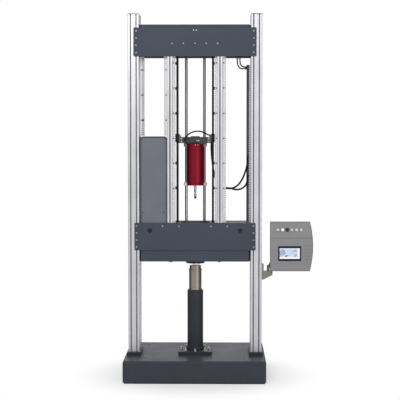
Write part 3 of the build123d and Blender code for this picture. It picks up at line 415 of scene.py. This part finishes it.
# Cable conduit: a dark grey plastic trunk beside the right column, with a snap-on lid.
grey_pvc = worked_finish("extruded_dark_pvc", "#434446", "#393a3c", 0.5, (2, 2, 2), 0.1, **plastic)
dress("cable_trunk", "cable_conduit", grey_pvc, "frame", "black_plastic", 1.0, angle=30)

# Guide rods: induction-hardened shafts, ground and polished, seated in both beams.
ground_steel = worked_finish(
    "ground_shaft_steel", "#9d9da1", "#88888c", 0.24, (20, 20, 1.5), 0.06, **bare_metal
)
rod_x = 65
rod_y = sum(span("guide_rods", "y")) / 2
foot, head = span("guide_rods")
rod = turned([(0, foot), (9.2, foot), (10, foot + 1), (10, head - 1), (9.2, head), (0, head)], steps=40)
rods = repeated(rod, facing(0, "Z", [(x, rod_y, 0) for x in (-rod_x, rod_x)]))
keep_piece("weight_rods", rods, [ground_steel], "frame", "rod_steel", "guide_rods")

# Lift drive: a cast gearbox with a standing motor under the cover, and two cross shafts with toothed
# pulleys in steel bearing blocks.
motor_paint = worked_finish("motor_grey_paint", "#2f3338", "#282c31", 0.5, (3, 3, 3), 0.3, **satin)
dress("gearbox_casting", "lift_gearbox", motor_paint, "frame", "motor_paint", 1.5)
dress("standing_motor", "lift_motor", motor_paint, "frame", "motor_paint", 1.5)
dress("drive_pulley_shaft", "drive_shaft", zinc, "drive_shaft", "zinc_steel", 0.6)
dress("idler_pulley_shaft", "idler_shaft", zinc, "idler_shaft", "zinc_steel", 0.6)
dress("bearing_blocks", "shaft_bearings", zinc, "frame", "zinc_steel", 0.6)

# Lift belts: black rubber toothed belts, moulded with 8 mm teeth on the inner side.
rubber = worked_finish("moulded_black_rubber", "#161617", "#0e0e0f", 0.62, (1.2, 1.2, 1.2), 0.15, **plastic)
dress("lift_belt_loops", "lift_belts", rubber, "frame", "rubber", 0.3, segments=1)
belt_x = span("lift_belts", "x")[1] - 5
belt_y = sum(span("lift_belts", "y")) / 2
teeth = [(x, y) for x in (-belt_x, belt_x) for y in (belt_y - 19.5, belt_y + 19.5)]
tooth_spots = [(x, y, 1112 + 8 * step) for x, y in teeth for step in range(146)]
belt_teeth = repeated(block(-4.8, 4.8, -0.9, 0.9, -2, 2), facing(0, "Z", tooth_spots))
keep_piece("lift_belt_teeth", belt_teeth, [rubber], "frame", "rubber")

# Drive cover: a folded sheet-steel hood over the motor, with round shoulders, powder coated in mid grey
# and held by two small black screws. Its up-facing bevelled brow is painted darker as painted shade.
cover_paint = worked_finish("cover_powder_coat", "#777983", "#6f717a", 0.36, (2.5, 2.5, 2.5), 0.12, **satin)
painted_shade_brow = worked_finish("cover_painted_shade_brow", "#4d4f57", "#484a52", 0.45, (2.5, 2.5, 2.5), 0.2, **satin)
hood = solid_of("drive_cover")
# Faces tilted up and forward get the darker grey: painted shade along the brow.
for face in hood.faces:
    if -0.9 < face.normal.y < -0.3 and face.normal.z > 0.2:
        face.material_index = 1
break_edges(hood, 0.8 * mm, angle=30)
keep_piece("motor_hood", hood, [cover_paint, painted_shade_brow], "frame", "cover_paint", "drive_cover")
hood_front = span("drive_cover", "y")[0]
hood_screw = turned([(0, 1.8), (2.4, 1.6), (4.0, 0.8), (4.4, 0)], steps=14)
hood_screws = repeated(hood_screw, facing(90, "X", [(x, hood_front, 1182) for x in (-368, -222)]))
keep_piece("hood_screws", hood_screws, [black_oxide], "frame", "black_steel")

# Carriage: a painted steel beam between two olive grey end plates, with plastic sliders round the rails
# and a holding magnet let into its middle. Zinc cap screws hold cheeks and magnet.
carriage_paint = worked_finish("carriage_satin_paint", "#4d4c4b", "#434241", 0.42, (2, 2, 2), 0.2, **satin)
olive_paint = worked_finish("end_plate_olive_paint", "#6a6a63", "#5c5c56", 0.42, (2, 2, 2), 0.2, **satin)
dress("carriage_crossbar", "carriage_beam", carriage_paint, "carriage", "carriage_paint", 1.2)
dress("carriage_plate_left", "carriage_end_left", olive_paint, "carriage", "bracket_paint", 0.4)
dress("carriage_plate_right", "carriage_end_right", olive_paint, "carriage", "bracket_paint", 0.4)
dress("rail_sliders", "carriage_sliders", black_nylon, "carriage", "black_plastic", 0.6)
dress("magnet_pot", "holding_magnet", carriage_paint, "carriage", "carriage_paint", 0.6)
cap_spots = [(x, -43, z) for x in (-98, 98) for z in (1684, 1704)] + [(x, -35, 1690) for x in (13, 27)]
cap_screws = repeated(socket_screw(5, 4, 2.2), facing(90, "X", cap_spots))
polished = worked_finish("polished_bolt_steel", "#dcdcde", "#c9c9cc", 0.22, (4, 4, 4), 0.03, **bare_metal)
keep_piece("carriage_cap_screws", cap_screws, [polished], "carriage", "zinc_steel")

# Drop weight: a turned cylinder in deep red candy enamel over bright metal, so that its flanks go dark,
# between two end plates in the same red. White acetal bushings run on the rods; a bright armature
# for the magnet and a rubber cushion lie on top.
candy = {"Metallic": 0.4, "Specular IOR Level": 0.14}
red_enamel = worked_finish("weight_red_enamel", "#7f1424", "#771220", 0.37, (9, 9, 9), 0.01, **candy)
foot, head = span("weight_cylinder")
drum = turned([(0, foot), (58, foot), (60, foot + 2), (60, head - 2), (58, head), (0, head)], steps=96)
break_edges(drum, 0.6 * mm)
keep_piece("red_drum", drum, [red_enamel], "drop_weight", "weight_red", "weight_cylinder")
dress("red_end_plates", "weight_guide_plates", red_enamel, "drop_weight", "weight_red", 1.0)
set_spots = [(2, -59.8, head + 8), (20, -56.4, head + 8)]
set_screws = repeated(socket_screw(3.5, 2.5, 1.8), facing(90, "X", set_spots))
keep_piece("weight_set_screws", set_screws, [polished], "drop_weight", "zinc_steel")


def turned_ring(profile, steps):
    """A turned body with a hole along its axis, closed between the two ends of its profile."""
    bm = turned(profile, steps)
    bmesh.ops.bridge_loops(bm, edges=[e for e in bm.edges if e.is_boundary])
    bmesh.ops.recalc_face_normals(bm, faces=bm.faces)
    return bm


acetal = worked_finish("white_acetal", "#f3f2f0", "#eae9e6", 0.36, (2, 2, 2), 0.1, **plastic)
spool = [(10.1, -12), (17.5, -12), (19, -10.5), (19, -4.6), (18.2, -4.2)]
spool += [(radius, -height) for radius, height in reversed(spool)]
bush = turned_ring(spool, steps=40)
foot, head = span("weight_bushings")
bush_spots = [(x, rod_y, z) for x in (-rod_x, rod_x) for z in (foot + 12, head - 12)]
bushes = repeated(bush, facing(0, "Z", bush_spots))
keep_piece("rod_bushings", bushes, [acetal], "drop_weight", "white_bushing", "weight_bushings")
foot, head = span("weight_armature")
disc = turned([(0, foot), (20, foot), (20, head - 0.8), (19.2, head), (0, head)])
keep_piece("magnet_armature", disc, [zinc], "drop_weight", "zinc_steel", "weight_armature")
cushion = turned_ring([(24, foot), (56, foot), (56, head - 0.5), (24, head - 0.5)], steps=64)
keep_piece("catch_cushion", cushion, [rubber], "drop_weight", "rubber")

# Striker: a ground steel shaft with a waist for the load ring and a dark hardened round nose.
tool_steel = worked_finish("hardened_tool_steel", "#39393b", "#2c2c2e", 0.34, (3, 3, 3), 0.08, **bare_metal)
foot, head = span("striker")
waist = [(8.5, foot + 12), (6.5, foot + 16), (6.5, foot + 28), (8.5, foot + 32)]
shaft = turned([(0, foot), (8.5, foot)] + waist + [(8.5, head), (0, head)], steps=40)
break_edges(shaft, 0.4 * mm)
keep_piece("striker_shaft", shaft, [ground_steel], "drop_weight", "striker_steel", "striker")
keep_piece("striker_nose", solid_of("striker_tip"), [tool_steel], "drop_weight", "tip_steel", "striker_tip")

# Anvil: a square steel flange bolted to the slab, a painted post, and a turned tube plated with
# satin nickel that takes the test piece under the clamp ring.
dress("post_foot_flange", "post_flange", foot_paint, "frame", "foot_paint", 0.8, angle=30)
post_paint = worked_finish("post_satin_paint", "#383c43", "#32363d", 0.4, (3, 3, 3), 0.1, **satin)
foot, head = span("anvil_post")
collar = [(0, foot), (66, foot), (66, foot + 19), (63, foot + 22), (57, foot + 22)]
post = turned(collar + [(57, head - 3), (54, head), (0, head)], steps=96)
break_edges(post, 1.0 * mm)
keep_piece("anvil_column", post, [post_paint], "frame", "post_paint", "anvil_post")


def add_prism(bm, sides, radius, middle, height):
    """Add an upright prism about a middle height, in millimetres."""
    bmesh.ops.create_cone(
        bm,
        cap_ends=True,
        segments=sides,
        radius1=radius * mm,
        radius2=radius * mm,
        depth=height * mm,
        matrix=Matrix.Translation((0, 0, middle * mm)),
    )


hexagon_bolt = turned([(0, 0), (12, 0), (12, 2.2), (0, 2.2)], steps=24)
add_prism(hexagon_bolt, 6, 9, 7, 9.6)
add_prism(hexagon_bolt, 20, 5.5, 14, 12)
break_edges(hexagon_bolt, 0.6 * mm)
turns = [math.radians(45 * step) for step in range(8)]
bolt_spots = [(97 * math.cos(turn), 97 * math.sin(turn), foot) for turn in turns]
bolts = repeated(hexagon_bolt, facing(0, "Z", bolt_spots))
keep_piece("flange_hex_bolts", bolts, [polished], "frame", "zinc_steel", "flange_bolts")
nickel = worked_finish("turned_satin_nickel", "#91877e", "#877d76", 0.3, (90, 90, 3), 0.02, **bare_metal)
foot, head = head, span("anvil_tube")[1]
lower_ring = [(0, foot), (47.5, foot), (47.5, foot + 8), (45, foot + 8)]
shoulder = [(45, head - 36), (47.5, head - 36), (47.5, head - 26), (41, head - 26)]
tube = turned(lower_ring + shoulder + [(41, head), (20, head), (20, head - 120), (0, head - 120)], steps=96)
break_edges(tube, 1.0 * mm)
keep_piece("anvil_sleeve", tube, [nickel], "frame", "nickel", "anvil_tube")
foot, head = span("clamp_ring")
ring = turned_ring([(21, foot), (64, foot), (68, foot + 4), (68, head), (21, head)], steps=96)
break_edges(ring, 0.6 * mm)
keep_piece("specimen_clamp_ring", ring, [foot_paint], "frame", "foot_paint", "clamp_ring")
ring_screws = repeated(socket_screw(4.5, 6, 2), facing(180, "X", [(x, -58, foot) for x in (-11, 27)]))
keep_piece("clamp_ring_screws", ring_screws, [polished], "frame", "zinc_steel")
floor_spots = [(x, y, head) for x in (-173, 173) for y in (-70, 70)]
beam_bolts = repeated(socket_screw(11, 9, 5), facing(180, "X", floor_spots))
keep_piece("beam_floor_bolts", beam_bolts, [foot_paint], "frame", "foot_paint")
dress("rubber_buffers", "stop_buffers", rubber, "frame", "rubber", 0.6)

# Control panel: a grey cast front on a lofted rear shell in darker grey, hung on a swivel bracket at the
# right column; the front's bevelled rim is painted in the darker grey as painted shade. A dark seam parts
# the key field from the display field, and five fine lines run out to the right edge.
panel_paint = worked_finish("panel_texture_paint", "#929295", "#8b8b8e", 0.5, (1.6, 1.6, 1.6), 0.3, **satin)
shell_grey_and_rim_shade = worked_finish("panel_shell_grey_and_rim_shade", "#757578", "#6f6f72", 0.5, (1.6, 1.6, 1.6), 0.3, **satin)
swivel_paint = worked_finish("swivel_bracket_paint", "#8f8d85", "#84827b", 0.45, (2, 2, 2), 0.2, **satin)
face_front = span("panel_front", "y")[0]
for node, name, body, finish, edge in (
    ("panel_bracket", "swivel_bracket", "frame", swivel_paint, 1.2),
    ("panel_housing", "panel_rear_shell", "panel", shell_grey_and_rim_shade, 1.0),
    ("panel_front", "panel_face", "panel", panel_paint, 0.5),
):
    casting = solid_of(node)
    # Faces tilted forward at the front take the darker grey: painted shade on the rim.
    for face in casting.faces:
        if -0.9 < face.normal.y < -0.4 and face.calc_center_median().y < (face_front + 6) * mm:
            face.material_index = 1
    break_edges(casting, edge * mm, angle=35)
    keep_piece(name, casting, [finish, shell_grey_and_rim_shade], body, "panel_paint", node)
keep_piece("panel_seam", block(535, 833, -149.4, -148.4, 1001, 1003), [rubber], "panel", "panel_paint")
line_heights = [850 + 24 * step for step in range(5)]
fine_line = block(774, 826, face_front - 0.3, face_front + 0.5, -0.5, 0.5)
fine_lines = repeated(fine_line, facing(0, "Z", [(0, 0, z) for z in line_heights]))
keep_piece("panel_fine_lines", fine_lines, [rubber], "panel", "panel_paint")

# Display: a black glass front with a lit screen behind it, which shows a plain dial, a curve and keys.
black_glass = worked_finish(
    "display_black_glass", "#090a10", "#05060a", 0.16, (30, 30, 30), 0.01, **satin
)
dress("display_glass_front", "display", black_glass, "panel", "display_glass", 0.5, angle=30)


def lit_colour(name, code):
    """A colour of the lit screen: it glows as it is written, with a faint grid of pixel rows."""
    material, shader = new_finish(
        name, {"Base Color": (0, 0, 0, 1), "Roughness": 0.2, "Emission Color": linear(code)}
    )
    place = add_node(material, "TexCoord", {}, {}).outputs["Object"]
    rows = add_node(
        material, "TexWave", {"bands_direction": "Z", "Scale": 1 / (20 * 1.2 * mm)}, {"Vector": place}
    )
    level = add_node(
        material, "MapRange", {"To Min": 0.86, "To Max": 0.96}, {"Value": rows.outputs["Fac"]}
    )
    material.node_tree.links.new(level.outputs["Result"], shader.inputs["Emission Strength"])
    return material


screen_colours = [
    lit_colour("screen_pale_blue", "#d5e2f5"),
    lit_colour("screen_white", "#ffffff"),
    lit_colour("screen_lilac", "#b9b8de"),
    lit_colour("screen_violet", "#8f8cc2"),
    lit_colour("screen_slate", "#8c9cc0"),
    lit_colour("screen_dark", "#3c4650"),
]
pale, white, lilac, violet, slate, ink = range(6)
display_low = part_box("display")[0] / mm
screen = bmesh.new()


def on_screen(x, z, layer):
    """A place on the screen, in millimetres from its lower left corner, a hair in front of the last."""
    return facing(90, "X", [display_low + Vector((7.5 + x, -0.05 - 0.05 * layer, 14.5 + z))])[0]


def screen_block(x, z, width, height, layer, colour, turn=0):
    """One flat block of the screen picture."""
    spread = Matrix.Rotation(math.radians(turn), 4, "Z") @ Matrix.Diagonal((width * mm, height * mm, 1, 1))
    made = bmesh.ops.create_grid(
        screen, x_segments=1, y_segments=1, size=0.5, matrix=on_screen(x, z, layer) @ spread
    )
    for face in {f for v in made["verts"] for f in v.link_faces}:
        face.material_index = colour


def screen_ring(x, z, inner, outer, layer, colour):
    """A flat ring on the screen picture, bridged between two circles."""
    rims = []
    for radius in (inner, outer):
        made = bmesh.ops.create_circle(
            screen, segments=40, radius=radius * mm, matrix=on_screen(x, z, layer)
        )
        rims += list({e for v in made["verts"] for e in v.link_edges})
    for face in bmesh.ops.bridge_loops(screen, edges=rims)["faces"]:
        face.material_index = colour


screen_block(73.5, 38, 143, 76, 0, pale)
screen_block(139, 38, 12, 76, 1, white)
screen_block(67.5, 6.5, 131, 13, 2, white)
screen_block(8, 24, 12, 22, 1, lilac)
screen_ring(23, 46, 0.5, 21, 2, lilac)
screen_ring(23, 46, 17, 21, 3, violet)
screen_block(29, 51, 17, 4, 4, violet, turn=40)
screen_ring(23, 46, 0.5, 4, 4, violet)
for step in range(4):
    screen_block(90, 22 + 14 * step, 76, 0.8, 1, lilac)
for step, rise in enumerate((0, 1, 4, 11, 21, 28, 24, 14, 8, 5, 4)):
    screen_block(58 + 6 * step, 24 + rise, 5.5, 3, 2, slate)
screen_block(49, 19, 15, 7, 2, ink)
screen_block(53, 24, 8, 5, 3, ink)
for x, z in ((104, 58), (116, 60), (119, 24), (110, 22)):
    screen_block(x, z, 10, 13, 2, slate)
    screen_block(x, z + 2, 4, 5, 3, pale)
bmesh.ops.recalc_face_normals(screen, faces=screen.faces)
keep_piece("screen_picture", screen, screen_colours, "panel", "display_glass")

# Push buttons: six round moulded caps with dished tops in grey rims; the second glows, the third is
# a dark olive lens, and these two sit in olive rims.
cap_plastic = worked_finish("button_pale_plastic", "#d6d6d2", "#cbcbc7", 0.3, (2, 2, 2), 0.05, **plastic)
lit_lens = worked_finish(
    "button_lit_lens", "#fbfbe2", "#f2f2cf", 0.2, (2, 2, 2), 0.05,
    **{"Emission Color": linear("#fbfbdc"), "Emission Strength": 0.2}
)
olive_lens = worked_finish("button_olive_lens", "#3c402c", "#303424", 0.2, (2, 2, 2), 0.05, **plastic)
special = {2: (lit_lens, "button_lit"), 3: (olive_lens, "button_dark")}
dish = [(0, 12.9), (7.5, 13.1), (9.4, 13.8), (10.4, 13.6), (11, 12.8), (11, 0), (13, 0), (13, -2), (0, -2)]
lip = [(11.4, 0), (11.4, 1.0), (12.2, 1.6), (13.6, 1.2), (14.2, 0)]
for step in range(1, 7):
    finish, slot = special.get(step, (cap_plastic, "button_cap"))
    cap_low, cap_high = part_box(f"button_{step}")
    centre = (cap_low + cap_high) / 2 / mm
    cap = repeated(turned(dish, 36), facing(90, "X", [(centre.x, face_front + 10, centre.z)]))
    keep_piece(f"button_cap_{step}", cap, [finish], f"button_{step}", slot, f"button_{step}")
    rim = repeated(turned(lip, 36), facing(90, "X", [(centre.x, face_front, centre.z)]))
    rim_finish = olive_lens if step in special else shell_grey_and_rim_shade
    keep_piece(f"button_rim_{step}", rim, [rim_finish], "panel", "button_cap")

# Glands and clips: nylon fittings that hold the ends of the cables, pale under the upper beam and black
# elsewhere, each gland with its hexagon nut.
pale_nylon = worked_finish(
    "moulded_pale_nylon", "#b9bdb8", "#adb1ac", 0.4, (1.5, 1.5, 1.5), 0.12, **plastic
)
fittings = solid_of("hose_glands")
for face in fittings.faces:
    if face.calc_center_median().z > 2.25:
        face.material_index = 1
break_edges(fittings, 1.0 * mm)
keep_piece("cable_glands", fittings, [black_nylon, pale_nylon], "frame", "black_plastic", "hose_glands")
nut = bmesh.new()
add_prism(nut, 6, 11, 2.5, 5)
break_edges(nut, 0.6 * mm)
nut_spots = facing(180, "X", [(300, -29, bay_roof), (319, -16, bay_roof)])
nut_spots += facing(90, "Y", [(219, -80, 1353)])
keep_piece("gland_nuts", repeated(nut, nut_spots), [black_nylon], "frame", "black_plastic")

# Cables and hoses: round black jackets of soft PVC, hung between their glands.
jacket = worked_finish("black_pvc_jacket", "#0f0f10", "#09090a", 0.5, (3, 3, 3), 0.1, **satin)


def cord_curve(name, radius, route):
    """A smooth round cord with the route's points as its control points."""
    curve = bpy.data.curves.new(name, "CURVE")
    curve.dimensions = "3D"
    line = curve.splines.new("NURBS")
    line.points.add(len(route) - 1)
    for point, (x, y, z) in zip(line.points, route):
        point.co = (x * mm, y * mm, z * mm, 1)
    line.order_u = 3
    line.use_endpoint_u = True
    line.resolution_u = 8
    curve.bevel_depth = radius * mm
    curve.bevel_resolution = 4
    curve.use_fill_caps = True
    cord = bpy.data.objects.new(name, curve)
    bpy.context.scene.collection.objects.link(cord)
    return cord


cord_routes = {
    "carriage_hose": (5, 0.2579, "carriage", [
        (-74, -41, 1692), (-74, -57, 1692), (-71, -69, 1701), (-64, -74, 1716), (-51, -73, 1732),
        (-32, -67, 1746), (-7, -56, 1755), (21, -42, 1758), (48, -26, 1754), (71, -10, 1744),
        (88, 2, 1733), (99, 6, 1729), (108, 6, 1729),
    ]),
    "bay_hose": (6.5, 0.2107, "frame", [
        (234, -80, 1353), (252, -80, 1353), (275, -80, 1345), (302, -77, 1341), (323, -71, 1345),
        (345, -63, 1356), (362, -54, 1374), (373, -47, 1396), (375, -45, 1420), (375, -45, 1438),
    ]),
    "top_cable_front": (4.5, 0.1064, "frame", [
        (300, -29, 2270), (300, -29, 2248), (304, -29, 2226), (315, -29, 2209), (332, -29, 2201),
        (345, -29, 2202), (356, -29, 2202),
    ]),
    "top_cable_rear": (4.5, 0.0775, "frame", [
        (319, -16, 2270), (319, -16, 2256), (321, -16, 2240), (327, -16, 2227), (336, -16, 2218),
        (346, -16, 2214), (356, -16, 2214),
    ]),
}
for node, (radius, length, body, route) in cord_routes.items():
    cord = cord_curve(f"{node}_line", radius, route)
    cord.data.materials.append(jacket)
    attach(cord, body)
    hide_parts(node)

# Trailing cable: it hangs in a loop from the carriage to a clip on the trunk.
trailing_route = [
    (115, 4, 1660), (115, 4, 1630), (118, 8, 1578), (124, 12, 1522), (132, 16, 1467), (143, 19, 1420),
    (160, 22, 1384), (186, 23, 1360), (214, 22, 1349), (242, 16, 1345), (270, 6, 1349), (296, -6, 1362),
    (320, -18, 1386), (340, -29, 1420), (356, -38, 1462), (369, -44, 1502), (375, -45, 1540),
    (375, -45, 1568),
]
hung = cord_curve("trailing_shape", 6.5, trailing_route)
loop = bpy.data.objects.new("trailing_loop", bpy.data.meshes.new_from_object(hung))
bpy.context.scene.collection.objects.link(loop)
hung.data.bevel_depth = 0
centre_line = bpy.data.meshes.new_from_object(hung)
bpy.data.objects.remove(hung)
loop.data.materials.append(jacket)
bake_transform(loop)
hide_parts("trailing_cable")

# Studio: a pale floor that fades into a white room, soft lamps in front, above and behind, and two dark
# cards far out at the rear sides, which only mirrors see, so that round metal gets dark flanks.
floor_finish, floor_shader = new_finish("studio_floor", {"Base Color": linear("#ededed"), "Roughness": 0.9})
floor_place = add_node(floor_finish, "TexCoord", {}, {}).outputs["Object"]
reach = add_node(floor_finish, "VectorMath", {"operation": "LENGTH"}, {0: floor_place})
fade = add_node(
    floor_finish,
    "MapRange",
    {"From Min": 0.45, "From Max": 0.95, "To Min": 0.5, "interpolation_type": "SMOOTHSTEP"},
    {"Value": reach.outputs["Value"]},
)


def seen_directly(material):
    """One for rays from the camera, from a mirror or through glass, and nought for the rest."""
    path = add_node(material, "LightPath", {}, {})
    mirrored = add_node(
        material,
        "Math",
        {"operation": "MAXIMUM"},
        {0: path.outputs["Is Camera Ray"], 1: path.outputs["Is Glossy Ray"]},
    )
    return add_node(
        material,
        "Math",
        {"operation": "MAXIMUM"},
        {0: mirrored.outputs[0], 1: path.outputs["Is Transmission Ray"]},
    ).outputs[0]


share = add_node(
    floor_finish,
    "Math",
    {"operation": "MULTIPLY"},
    {0: fade.outputs["Result"], 1: seen_directly(floor_finish)},
)
glow = add_node(floor_finish, "Emission", {"Color": (1, 1, 1, 1), "Strength": 1.0}, {})
faded = add_node(
    floor_finish,
    "MixShader",
    {},
    {0: share.outputs[0], 1: floor_shader.outputs["BSDF"], 2: glow.outputs["Emission"]},
)
floor_finish.node_tree.links.new(
    faded.outputs[0], floor_finish.node_tree.nodes["Material Output"].inputs["Surface"]
)


def stage_piece(name, bm, material):
    """A piece of the studio, which isn't part of the object."""
    mesh = bpy.data.meshes.new(name)
    bm.to_mesh(mesh)
    bm.free()
    mesh.materials.append(material)
    piece = bpy.data.objects.new(name, mesh)
    bpy.context.scene.collection.objects.link(piece)
    return piece


ground = bmesh.new()
bmesh.ops.create_grid(ground, x_segments=1, y_segments=1, size=30)
stage_piece("studio_floor", ground, floor_finish)
dark_card, _ = new_finish("dark_card", {"Base Color": linear("#3a3a3a"), "Roughness": 0.9})
for side, name in ((-1, "left_card"), (1, "right_card")):
    card = bmesh.new()
    near = math.radians(105)
    low = card.verts.new((side * 5 * math.sin(near), -5 * math.cos(near), 0))
    high = card.verts.new(low.co + Vector((0, 0, 5)))
    edge = card.edges.new((low, high))
    bmesh.ops.spin(
        card,
        geom=[low, high, edge],
        cent=(0, 0, 0),
        axis=(0, 0, side),
        angle=math.radians(58),
        steps=12,
    )
    wall = stage_piece(name, card, dark_card)
    wall.visible_camera = False
    wall.visible_diffuse = False
    wall.visible_shadow = False
    wall.visible_transmission = False

room = bpy.data.worlds.new("white_room")
bpy.context.scene.world = room
room.use_nodes = True
ambient = room.node_tree.nodes["Background"]
ambient.inputs["Color"].default_value = (1, 1, 1, 1)
ambient.inputs["Strength"].default_value = 0.36
backdrop = add_node(room, "Background", {"Color": (1, 1, 1, 1), "Strength": 1.0}, {})
mixed = add_node(
    room,
    "MixShader",
    {},
    {0: seen_directly(room), 1: ambient.outputs["Background"], 2: backdrop.outputs["Background"]},
)
room.node_tree.links.new(mixed.outputs[0], room.node_tree.nodes["World Output"].inputs["Surface"])


def soft_lamp(name, place, aim, size, power):
    """A large square lamp turned to a point."""
    lamp = bpy.data.lights.new(name, "AREA")
    lamp.size = size
    lamp.energy = power
    stand = bpy.data.objects.new(name, lamp)
    stand.location = place
    stand.rotation_euler = (Vector(aim) - Vector(place)).to_track_quat("-Z", "Y").to_euler()
    bpy.context.scene.collection.objects.link(stand)


soft_lamp("key_lamp", (-1.0, -4.7, 4.6), (0, 0, 1.6), 2.0, 138)
soft_lamp("fill_lamp", (3.3, -4.6, 1.1), (0, 0, 1.0), 1.1, 36)
soft_lamp("top_lamp", (-0.4, 0.4, 6.0), (0, 0, 1.0), 3.5, 60)
soft_lamp("rear_lamp", (1.2, 4.4, 4.8), (0, 0, 1.3), 2.6, 40)

# Camera: a long lens at about the height of the carriage, a little to the right of the impact axis.
lens = bpy.data.cameras.new("photo_camera")
lens.lens = 113.7
lens.sensor_width = 36
lens.clip_end = 100
camera = bpy.data.objects.new("photo_camera", lens)
camera.location = (0.178, -9.067, 1.745)
camera.rotation_euler = (math.radians(90 - 3.04), 0, math.radians(0.91))
bpy.context.scene.collection.objects.link(camera)
bpy.context.scene.camera = camera
bpy.context.scene.view_settings.view_transform = "Standard"
